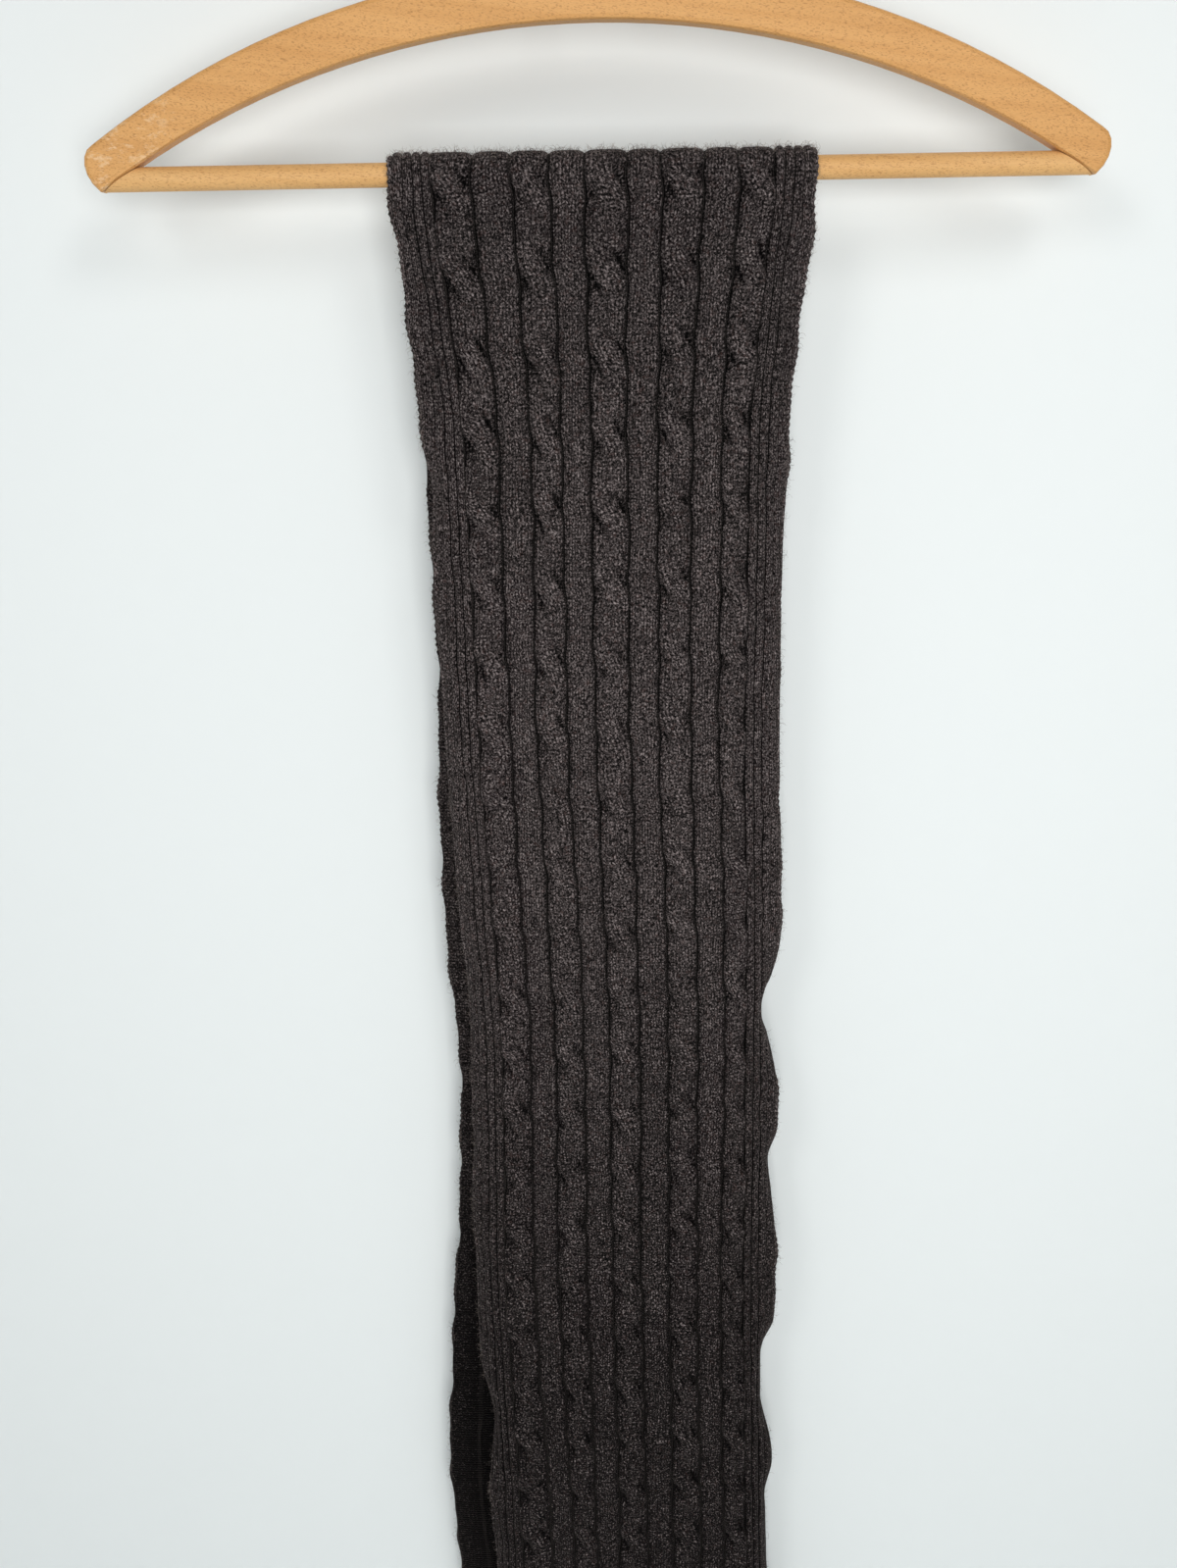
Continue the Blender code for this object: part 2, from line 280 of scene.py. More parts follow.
class GeometryTree(Graph):
    """A Geometry Nodes tree with named inputs, run once on an object and left as a plain mesh."""

    def __init__(self, name: str) -> None:
        """Makes the tree with a geometry input and output."""
        super().__init__(bpy.data.node_groups.new(name, "GeometryNodeTree"))
        self.tree.interface.new_socket("Geometry", in_out="INPUT", socket_type="NodeSocketGeometry")
        self.tree.interface.new_socket("Geometry", in_out="OUTPUT", socket_type="NodeSocketGeometry")
        self.source = self.tree.nodes.new("NodeGroupInput")
        self.values: dict[str, Any] = {}

    def given(self, name: str, value: Any, kind: str = "NodeSocketFloat") -> Any:
        """Adds a named input.

        Args:
            name: Its name.
            value: What it is set to.
            kind: Its socket type.

        Returns:
            The input as a number, or as a socket where it isn't one.
        """
        socket = self.tree.interface.new_socket(name, in_out="INPUT", socket_type=kind)
        self.values[socket.identifier] = value
        output = next(o for o in self.source.outputs if o.identifier == socket.identifier)
        return Number(self, output) if kind == "NodeSocketFloat" else output

    def inputs_of(self, settings: Any) -> SimpleNamespace:
        """Adds a named input for each field of a dataclass of numbers.

        Args:
            settings: The dataclass.

        Returns:
            The inputs, by field.
        """
        made = SimpleNamespace()
        for one in fields(settings):
            name = one.name.replace("_", " ").capitalize()
            setattr(made, one.name, self.given(name, getattr(settings, one.name)))
        return made

    def attribute(self, name: str) -> Number:
        """A number kept at each point of the mesh."""
        made = self.node("GeometryNodeInputNamedAttribute", {"Name": name}, data_type="FLOAT")
        return Number(self, made.outputs[0])

    def attribute_vector(self, name: str) -> bpy.types.NodeSocket:
        """A vector kept at each point of the mesh."""
        made = self.node("GeometryNodeInputNamedAttribute", {"Name": name}, data_type="FLOAT_VECTOR")
        return made.outputs[0]

    def stored(self, geometry: Any, name: str, value: Any, data_type: str) -> Any:
        """Keeps a value at each point of the mesh.

        Args:
            geometry: The mesh so far.
            name: The attribute's name.
            value: What it holds.
            data_type: Its type.

        Returns:
            The mesh with it.
        """
        values = {"Geometry": geometry, "Name": name, "Value": value}
        return self.node(
            "GeometryNodeStoreNamedAttribute", values, data_type=data_type, domain="POINT"
        ).outputs[0]

    def instances(self, points: Any, instance: Any, turn: Any, size: Any) -> bpy.types.NodeSocket:
        """One shape stood on each point, turned and sized."""
        values = {"Points": points, "Instance": instance, "Rotation": turn, "Scale": size}
        return self.node("GeometryNodeInstanceOnPoints", values).outputs[0]

    def end(self, geometry: Any, material: Any) -> None:
        """Ends the tree in Realize Instances and Set Material."""
        real = self.node("GeometryNodeRealizeInstances", {0: geometry}).outputs[0]
        dressed = self.node("GeometryNodeSetMaterial", {"Geometry": real, "Material": material})
        self.node("NodeGroupOutput", {0: dressed.outputs[0]})

    def grow(self, name: str, source: bpy.types.Object) -> bpy.types.Object:
        """Runs the tree on an object and makes a plain mesh of the result.

        Args:
            name: The new piece's name.
            source: The object it runs on, which is removed.

        Returns:
            The new piece.
        """
        modifier = source.modifiers.new(self.tree.name, "NODES")
        modifier.node_group = self.tree
        for identifier, value in self.values.items():
            modifier[identifier] = value
        graph = bpy.context.evaluated_depsgraph_get()
        mesh = bpy.data.meshes.new_from_object(source.evaluated_get(graph), depsgraph=graph)
        source.modifiers.remove(modifier)
        bpy.data.objects.remove(source)
        mesh.name = name
        return placed(name, mesh)


def placed(name: str, data: Any) -> bpy.types.Object:
    """Adds an object at the origin, unturned and unscaled."""
    made = bpy.data.objects.new(name, data)
    bpy.context.scene.collection.objects.link(made)
    return made


# ---------------------------------------------------------------- finishes


@dataclass(frozen=True)
class WoolKnit:
    """Dark mottled wool, knitted, with a soft nap, and painted shade in its grooves, inside the fold and low
    on the falls.
    """

    dark: Colour = (0.0030, 0.0028, 0.0027)
    middle: Colour = (0.056, 0.0455, 0.0450)
    light: Colour = (0.285, 0.240, 0.236)
    rust: Colour = (0.125, 0.070, 0.062)
    stitch_height: float = 0.45 * MM
    flecks_to_wale: float = 3.9
    flecks_to_course: float = 1.5
    nap_scale: float = 1150.0  # flecks to a metre
    leg_lean: float = 0.55  # courses that a stitch's leg climbs
    rust_share: float = 0.45
    dusk: tuple[float, float] = (-0.86, -0.42)  # heights between which painted shade darkens the cloth downwards, in metres, where the light falls off
    low_shade_flecks_lost: float = 0.028  # how many fewer light flecks it has under that painted shade
    low_shade_grooves: float = 0.13  # how much deeper its grooves look under that painted shade
    low_shade_strength: float = 0.52
    dusk_flecks: float = 0.7  # how much of that painted shade its light flecks stand out of
    top: tuple[float, float] = (-0.38, -0.17)  # heights between which painted shade darkens it a little again, towards the bar
    top_painted_shade: float = 0.15

    def build(self) -> bpy.types.Material:
        """Makes the material.

        Returns:
            The material, which reads the "knit" and "depth" attributes of the scarf's pieces; "depth" sets
            its painted shade and painted highlight.
        """
        made = Material(Slot.WOOL.value, Roughness=0.92, Specular_IOR_Level=0.05)
        made.dress(Sheen_Weight=0.10, Sheen_Roughness=0.4, Sheen_Tint=(0.62, 0.53, 0.50, 1.0))
        knit = made.node("ShaderNodeAttribute", attribute_name="knit")
        wale, course, side = made.split(knit.outputs["Vector"])
        depth = Number(made, made.node("ShaderNodeAttribute", attribute_name="depth").outputs["Fac"])
        x, _, z = made.split(made.place)
        turn = 2 * math.pi
        off_middle = abs(wale.part() - 0.5) * 2.0
        off_leg = off_middle * 2.0 - 1.0
        leg = 1.0 - off_leg * off_leg
        climbed = course - off_middle * self.leg_lean
        ridge = (climbed * turn).cosine() * 0.5 + 0.5
        plain = leg * (ridge * 0.62 + 0.38)
        purl = (course * turn + (wale * turn).sine() * 0.9).cosine() * 0.5 + 0.5
        stitch = side.between(purl, plain * (1.0 - off_middle.smooth(0.66, 1.0) * 0.5))
        strands = made.vector(wale * self.flecks_to_wale, climbed * self.flecks_to_course, x * 150.0)
        ply = made.noise(strands, 1.0, 2.0, 0.7)
        nap = made.noise(made.place, self.nap_scale, 2.0, 0.65)
        fine = made.noise(made.place, self.nap_scale * 2.3, 1.0)
        patches = made.noise(made.place, 55.0, 3.0, 0.6)
        warm = made.noise(made.place, 420.0, 1.0)
        # Painted shade: the cloth darkens towards the bottom of the falls, where the light falls off.
        dusk = 1.0 - z.smooth(*self.dusk)
        mottle = ply * 0.5 + nap * 0.5 - dusk * self.low_shade_flecks_lost
        flecks = mottle.smooth(0.50, 0.63)
        rust = warm.smooth(0.56, 0.74) * fine.smooth(0.42, 0.62) * self.rust_share
        colour = made.mixed(mottle.smooth(0.41, 0.52), self.dark, self.middle)
        colour = made.mixed(flecks, colour, self.light)
        colour = made.mixed(rust, colour, self.rust)
        # Painted shade in the grooves, sunk strands and gaps between stitches, by depth and stitch; patches
        # vary at random.
        ragged = (depth - dusk * self.low_shade_grooves + (mottle - 0.5) * 0.7).smooth(0.10, 0.50)
        shade = (stitch * 0.85 + 0.36) * (patches * 0.8 + 0.60) * (ragged * 0.98 + 0.02)
        # Painted shade by depth, and a little more painted shade near the bar.
        shade = shade * (0.50 + depth * 0.55) * (0.96 - z.smooth(*self.top) * self.top_painted_shade)
        shade = shade * (1.0 - dusk * (self.low_shade_strength - flecks * self.dusk_flecks))
        made.dress(Base_Color=made.dimmed(colour, shade.held()))
        made.bumped(stitch * 0.62 + nap * 0.38 + fine * 0.16, self.stitch_height)
        return made.material


@dataclass(frozen=True)
class WoolNap:
    """Loose wool fibres, paler than the cloth because light comes through them."""

    dark: Colour = (0.055, 0.044, 0.040)
    pale: Colour = (0.30, 0.25, 0.225)

    def build(self) -> bpy.types.Material:
        """Makes the material.

        Returns:
            The material.
        """
        made = Material("wool_nap", Roughness=0.85, Specular_IOR_Level=0.2)
        each = made.noise(made.place, 330.0, 2.0, 0.6)
        made.dress(Base_Color=made.mixed(each.smooth(0.35, 0.65), self.dark, self.pale))
        return made.material


@dataclass(frozen=True)
class Beech:
    """Steamed beech under a satin varnish, with the short dark flecks of its rays."""

    name: str = Slot.BEECH.value
    pale: Colour = (0.675, 0.362, 0.128)
    deep: Colour = (0.545, 0.262, 0.078)
    fleck: Colour = (0.320, 0.138, 0.038)
    fleck_share: float = 0.50
    worn: Colour = (0.80, 0.58, 0.36)
    patches_from: float = -0.196  # x from which the board's left end turns paler in patches, in metres
    pale_end_fade: float = 0.026  # how far that paler end fades over, in metres

    def build(self) -> bpy.types.Material:
        """Makes the material, with its grain along X.

        Returns:
            The material.
        """
        made = Material(self.name, Roughness=0.5, Specular_IOR_Level=0.3)
        x, y, z = made.split(made.place)
        drift = made.noise(made.vector(x * 14.0, y * 40.0, z * 40.0), 1.0, 2.0) - 0.5
        lean = z + x * 0.12 + drift * 0.004

        def streaks(along_x: float, across: float, shift: float, *noise: float) -> Number:
            """Noise drawn out along the grain, by its cells to a metre along and across it."""
            return made.noise(made.vector(x * along_x, y * across, lean * across + shift), 1.0, *noise)

        bands = streaks(6.0, 200.0, 0.0, 3.0, 0.6)
        pores = streaks(420.0, 2300.0, 0.0, 2.0, 0.65)
        dashes = streaks(760.0, 2300.0, 7.0, 1.0)
        rays = streaks(380.0, 1400.0, 31.0, 1.0)
        broad = made.noise(made.place, 14.0, 2.0)
        fleck = dashes.smooth(0.56, 0.68) * self.fleck_share
        ray = rays.smooth(0.66, 0.74) * self.fleck_share * 1.2
        colour = made.mixed(bands.smooth(0.30, 0.72) * 0.45 + broad * 0.3, self.pale, self.deep)
        colour = made.mixed(fleck.most(ray), colour, self.fleck)
        colour = made.dimmed(colour, pores * 0.36 + 0.80)
        # The board's left end is paler in patches.
        pale_end_patches = made.noise(made.vector(x * 130.0, y * 200.0, z * 260.0), 1.0, 4.0, 0.75)
        end = 1.0 - x.smooth(self.patches_from, self.patches_from + self.pale_end_fade)
        colour = made.mixed(pale_end_patches.smooth(0.50, 0.64) * end * 0.55, colour, self.worn)
        made.dress(Base_Color=colour, Roughness=bands * 0.12 + pores * 0.16 + 0.40)
        made.bumped(bands * 0.3 + pores * 0.5 - fleck * 0.5, 0.07 * MM, 0.8)
        return made.material


@dataclass(frozen=True)
class SteelWire:
    """Bright drawn steel wire with fine lines along it and a little handling wear."""

    colour: Colour = (0.56, 0.56, 0.57)
    worn: Colour = (0.40, 0.39, 0.38)

    def build(self) -> bpy.types.Material:
        """Makes the material.

        Returns:
            The material.
        """
        made = Material(Slot.STEEL.value, Metallic=1.0)
        streak = made.noise(made.place, 900.0, 2.0, 0.7)
        cloud = made.noise(made.place, 90.0, 3.0, 0.6)
        made.dress(Base_Color=made.mixed(cloud.smooth(0.4, 0.7), self.colour, self.worn))
        made.dress(Roughness=cloud * 0.2 + streak * 0.12 + 0.14)
        made.bumped(streak, 0.02 * MM, 0.6)
        return made.material


# ---------------------------------------------------------------- the strip's middle surface


class Root(NamedTuple):
    """Where the body meets its two borders, at a drop below the bar's axis. Millimetres."""

    drop: float
    left: float
    right: float


class Curl(NamedTuple):
    """How far a border curls backward at a drop. Millimetres and degrees."""

    drop: float
    turn: float


FRONT_ROOTS = (
    Root(0, -71.5, 75.5), Root(60, -66, 70), Root(110, -62, 66.5), Root(240, -61, 66),
    Root(350, -57.5, 68.5), Root(410, -55.5, 69), Root(560, -58.5, 70), Root(680, -56, 72.5),
    Root(755, -55, 74.5), Root(860, -58, 73),
)
FRONT_LEFT_CURLS = (
    Curl(0, 0), Curl(110, 5), Curl(133, 55), Curl(165, 30), Curl(240, 45), Curl(350, 42),
    Curl(378, 55), Curl(457, 38), Curl(470, 55), Curl(504, 35), Curl(555, 52), Curl(607, 45),
    Curl(650, 95), Curl(710, 35), Curl(754, 58), Curl(860, 30),
)
FRONT_RIGHT_CURLS = (
    Curl(0, 0), Curl(110, 15), Curl(165, 45), Curl(240, 38), Curl(350, 20), Curl(380, 80),
    Curl(397, 145), Curl(415, 95), Curl(460, 15), Curl(487, 85), Curl(506, 65), Curl(557, 5),
    Curl(585, 35), Curl(610, 115), Curl(637, 118), Curl(682, 48), Curl(710, 95), Curl(754, 90),
    Curl(820, 10), Curl(860, 20),
)
BACK_ROOTS = (
    Root(0, -71.5, 75.5), Root(106, -65, 65), Root(200, -63, 63), Root(327, -66, 60),
    Root(440, -61.5, 60), Root(524, -66, 61), Root(626, -74.5, 55), Root(700, -78, 51.5),
    Root(770, -75, 53), Root(880, -72, 56),
)
BACK_LEFT_CURLS = (Curl(0, 0), Curl(150, 20), Curl(700, 10), Curl(880, 20))
BACK_RIGHT_CURLS = (
    Curl(0, 0), Curl(110, 50), Curl(330, 75), Curl(390, 110), Curl(500, 60), Curl(700, 20),
    Curl(880, 15),
)


def smooth_step(value: Array) -> Array:
    """0 below 0 and 1 above 1, with a smooth step between."""
    held = np.clip(value, 0, 1)
    return held * held * (3 - 2 * held)


def waves(run: Array, place: Any, terms: Sequence[Wave]) -> Array:
    """A sum of sine waves along the strip, shifted across it.

    Args:
        run: Place along the strip.
        place: Place across it.
        terms: The waves.

    Returns:
        The sum at each point.
    """
    return sum(height * np.sin(run / length + turn * place) for height, length, turn in terms)


def along(table: Sequence[NamedTuple], column: str, drop: Array) -> Array:
    """One column of a table at each drop, on a smooth curve that never overshoots a row.

    Args:
        table: The rows, by drop in millimetres.
        column: The name of the column.
        drop: The drops, in millimetres.

    Returns:
        The column's value at each drop.
    """
    drops = np.array([row.drop for row in table], float)
    values = np.array([getattr(row, column) for row in table], float)
    slopes = np.diff(values) / np.diff(drops)
    tangents = np.zeros(len(values))
    before, after = slopes[:-1], slopes[1:]
    same_way = before * after > 0
    tangents[1:-1][same_way] = (2 * before * after / (before + after + 1e-12))[same_way]
    held = np.clip(drop, drops[0], drops[-1])
    row = np.clip(np.searchsorted(drops, held) - 1, 0, len(drops) - 2)
    width = drops[row + 1] - drops[row]
    t = (held - drops[row]) / width
    return (
        (1 + 2 * t) * (1 - t) ** 2 * values[row]
        + t * (1 - t) ** 2 * width * tangents[row]
        + t * t * (3 - 2 * t) * values[row + 1]
        + t * t * (t - 1) * width * tangents[row + 1]
    )


@dataclass(frozen=True)
class Fall:
    """The tables of one fall, and how its body stands off the bar's plane."""

    roots: Sequence[Root]
    left_curls: Sequence[Curl]
    right_curls: Sequence[Curl]
    front: bool

    def body_y(self, strip: "Strip", inside: Array, drop: Array, right_turn: Array) -> Array:
        """The body's y, in millimetres.

        Args:
            strip: The scarf's sizes.
            inside: Place across the body, 0 to 1.
            drop: Drop below the bar's axis.
            right_turn: The right border's curl, in radians.

        Returns:
            The y of each point.
        """
        settle = smooth_step(drop / strip.settle)
        if not self.front:
            wave = np.sin(2 * math.pi * drop / strip.swell_length + 3 * (1 - inside))
            return strip.fold_radius + strip.back_stands_off * settle + strip.body_swell * settle * wave
        wave = np.sin(2 * math.pi * drop / strip.swell_length + 3 * inside)
        reach = smooth_step((inside - strip.lift_starts_at) / (1 - strip.lift_starts_at))
        lift = strip.curl_lift * reach * right_turn / strip.full_turn
        return -strip.fold_radius - strip.body_swell * settle * wave - lift

    def point(self, strip: "Strip", place: Array, drop: Array) -> Array:
        """Points of the fall's middle surface.

        Args:
            strip: The scarf's sizes.
            place: -1 to 0 on the left border, 0 to 1 on the body, 1 to 2 on the right border.
            drop: Drop below the bar's axis, in millimetres.

        Returns:
            The points, in millimetres below and beside the bar's middle.
        """
        left, right = along(self.roots, "left", drop), along(self.roots, "right", drop)
        left_turn = np.radians(along(self.left_curls, "turn", drop))
        right_turn = np.radians(along(self.right_curls, "turn", drop))
        inside = np.clip(place, 0, 1)
        x = left + (right - left) * inside
        y = self.body_y(strip, inside, drop, right_turn)
        for reach, turn, way in ((-place, left_turn, -1), (place - 1, right_turn, 1)):
            reach = np.clip(reach, 0, None) * strip.border
            radius = strip.border / np.maximum(turn, 1e-4)
            x = x + way * radius * np.sin(reach / radius)
            y = y + radius * (1 - np.cos(reach / radius))
        return np.stack([x, y, -drop], -1)


@dataclass(frozen=True)
class Strip:
    """The scarf as one knitted strip. Millimetres; run is measured along it, up the front fall."""

    border: float = BORDER_WIDTH
    width: float = BODY_WIDTH + 2 * BORDER_WIDTH
    front_fall: float = 860.0
    back_fall: float = 880.0
    fold_radius: float = 6.8
    bar_below_crown: float = 155.0
    body_swell: float = 0.8
    swell_length: float = 310.0
    curl_lift: float = 3.0
    full_turn: float = math.radians(135)
    lift_starts_at: float = 0.55
    back_stands_off: float = 2.0
    settle: float = 150.0
    front: Fall = Fall(FRONT_ROOTS, FRONT_LEFT_CURLS, FRONT_RIGHT_CURLS, True)
    back: Fall = Fall(BACK_ROOTS, BACK_LEFT_CURLS, BACK_RIGHT_CURLS, False)

    @property
    def over_bar(self) -> float:
        """Length of the stretch over the bar."""
        return math.pi * self.fold_radius

    def point(self, place: Array, run: Array) -> Array:
        """Points of the middle surface, in metres in the row frame.

        Args:
            place: Place across the strip, as Fall.point takes it.
            run: Place along it: below 0 on the front fall, then over the bar and down the back.

        Returns:
            The points.
        """
        place, run = np.broadcast_arrays(place, run)
        front = self.front.point(self, place, np.clip(-run, 0, None))
        back = self.back.point(self, place, np.clip(run - self.over_bar, 0, None))
        angle = math.pi - np.clip(run, 0, self.over_bar) / self.fold_radius
        fold_y, fold_z = self.fold_radius * np.cos(angle), self.fold_radius * np.sin(angle)
        fold = np.stack([front[..., 0], fold_y, fold_z], -1)
        on_front, on_back = (run < 0)[..., None], (run > self.over_bar)[..., None]
        found = np.where(on_front, front, np.where(on_back, back, fold))
        return (found + np.array([0.0, 0.0, -self.bar_below_crown])) * MM

    def outward(self, place: Array, run: Array) -> Array:
        """Unit vectors out of the right side of the middle surface.

        Args:
            place: Place across the strip.
            run: Place along it.

        Returns:
            The vectors.
        """
        step, climb = 0.02, 0.6
        across = self.point(place + step, run) - self.point(place - step, run)
        up = self.point(place, run + climb) - self.point(place, run - climb)
        normal = np.cross(across, up)
        return normal / np.linalg.norm(normal, axis=-1, keepdims=True)


# ---------------------------------------------------------------- the knitting


class Stitch(Enum):
    """What a column of the knitting is."""

    SELVEDGE = -1
    BORDER = 0
    PLAIN = 1
    CABLE = 2


@dataclass(frozen=True)
class Column:
    """One rib of the knitting, from groove to groove."""

    kind: Stitch
    flat: float
    first_wale: float
    wales: float


@dataclass(frozen=True)
class Pattern:
    """The stitch pattern across the strip and the cables' rhythm along it. Millimetres."""

    selvedge: float = 2.0
    border_ribs: int = 4
    body_ribs: int = 9  # a cable at each end and every second one
    cable: float = 15.6
    plain: float = 13.5
    course: float = 1.62
    repeat: float = 34.5  # from one crossing to the next
    first_crossing: float = -7.0
    right_cables_higher: float = 3.0
    higher_from: float = 0.62  # place across the body where they start
    higher_over: float = 0.1
    even_near_bar: float = 60.0  # length beside the bar where the crossings lie level
    pinch: float = 0.7  # how far a crossing draws its grooves in
    bulge: float = 0.4  # how far its front strand pushes them out
    swing_length: float = 9.0  # how far up and down that goes on
    plain_wales: float = 5.0
    cable_wales: float = 6.0
    uneven: tuple[Wave, ...] = ((1.3, 19.0, 9.0), (0.8, 7.9, 23.0))  # of the crossings' heights
    wander: tuple[Wave, ...] = ((0.28, 23.0, 2.1), (0.2, 9.7, 4.3))  # of the grooves
    back_settles: float = 80.0  # length past the bar in which the back's grooves find their places

    # Place of each groove across the body, at drops down the front fall.
    drops: tuple[float, ...] = (0, 111, 248, 404, 582, 751, 860)
    grooves: tuple[tuple[float, ...], ...] = (
        (0.120, 0.119, 0.121, 0.117, 0.124, 0.136, 0.132),
        (0.231, 0.234, 0.219, 0.218, 0.225, 0.231, 0.228),
        (0.346, 0.343, 0.336, 0.338, 0.345, 0.334, 0.340),
        (0.446, 0.442, 0.440, 0.440, 0.453, 0.435, 0.440),
        (0.571, 0.571, 0.571, 0.566, 0.572, 0.560, 0.565),
        (0.670, 0.677, 0.677, 0.683, 0.688, 0.675, 0.680),
        (0.794, 0.796, 0.797, 0.804, 0.806, 0.799, 0.802),
        (0.893, 0.901, 0.901, 0.914, 0.903, 0.902, 0.905),
    )

    @property
    def border_rib(self) -> float:
        """The width of a rib of the borders."""
        return (BORDER_WIDTH - self.selvedge) / self.border_ribs

    def columns(self) -> list[Column]:
        """The ribs from the left selvedge to the right one."""
        edge = [Column(Stitch.SELVEDGE, self.selvedge, 0, 1)]
        ribs = [Column(Stitch.BORDER, self.border_rib, 1 + 2 * i, 2) for i in range(self.border_ribs)]
        cable = Column(Stitch.CABLE, self.cable, 0, self.cable_wales)
        plain = Column(Stitch.PLAIN, self.plain, 0, self.plain_wales)
        body = [(cable, plain)[i % 2] for i in range(self.body_ribs)]
        return edge + ribs + body + ribs[::-1] + edge

    def since_crossing(self, place: Array, run: Array) -> Array:
        """How far each point lies above the cable crossing nearest to it.

        Args:
            place: Place across the strip.
            run: Place along it.

        Returns:
            The distance, positive up the front fall.
        """
        on_right = smooth_step((place - self.higher_from) / self.higher_over)
        higher = self.right_cables_higher * on_right * (run < 0)
        uneven = waves(run, place, self.uneven) * smooth_step(abs(run) / self.even_near_bar)
        start = run - self.first_crossing - higher - uneven
        return start - self.repeat * np.round(start / self.repeat)

    def bounds_of(self, index: int, run: Array) -> tuple[Array, Array]:
        """Place across the strip of a rib's two grooves.

        Args:
            index: Which rib, from the left selvedge.
            run: Places along the strip.

        Returns:
            The left and the right groove's place at each run.
        """
        return self.groove(index, run), self.groove(index + 1, run)

    def swing(self, groove: Union[int, Array], off: Array) -> tuple[Array, Array]:
        """How a cable's crossing draws in and pushes out a groove beside it.

        Args:
            groove: Which groove, from the left selvedge.
            off: How far above the crossing.

        Returns:
            The share drawn in towards the cable and the share pushed out.
        """
        above = off * np.where((groove - self.border_ribs) % 2 == 0, 1, -1)
        off_drawn, off_pushed = (np.clip((above + far) / self.swing_length, -1, 1) for far in (-4, 8))
        return np.cos(off_drawn * math.pi / 2) ** 2, np.cos(off_pushed * math.pi / 2) ** 2

    def groove(self, index: int, run: Array) -> Array:
        """Place across the strip of one groove, counted from the left selvedge, which is 0."""
        edge = 1 + self.border_ribs
        steps = [0.0] + [self.selvedge + self.border_rib * i for i in range(self.border_ribs + 1)]
        if index < edge:
            return np.full_like(run, -1 + steps[index] / BORDER_WIDTH)
        if index > edge + self.body_ribs:
            return np.full_like(run, 2 - steps[2 * edge + self.body_ribs - index] / BORDER_WIDTH)
        number = index - edge - 1
        share = np.full_like(run, float(number > 0))
        if 0 <= number < len(self.grooves):
            shares = self.grooves[number]
            on_front = np.interp(np.clip(-run, 0, None), self.drops, shares)
            usual = 0.5 * (shares[0] + shares[1])
            on_back = usual + (shares[0] - usual) * smooth_step(1 - run / self.back_settles)
            share = np.where(run > 0, on_back, on_front)
        drawn, pushed = self.swing(index, self.since_crossing(share, run))
        way = 1 if number % 2 == 0 else -1
        moved = way * (self.bulge * pushed - self.pinch * drawn) + waves(run, number, self.wander)
        in_border = (moved < 0) if number < 0 else (moved > 0) & (number >= len(self.grooves))
        return share + moved / np.where(in_border, BORDER_WIDTH, BODY_WIDTH)


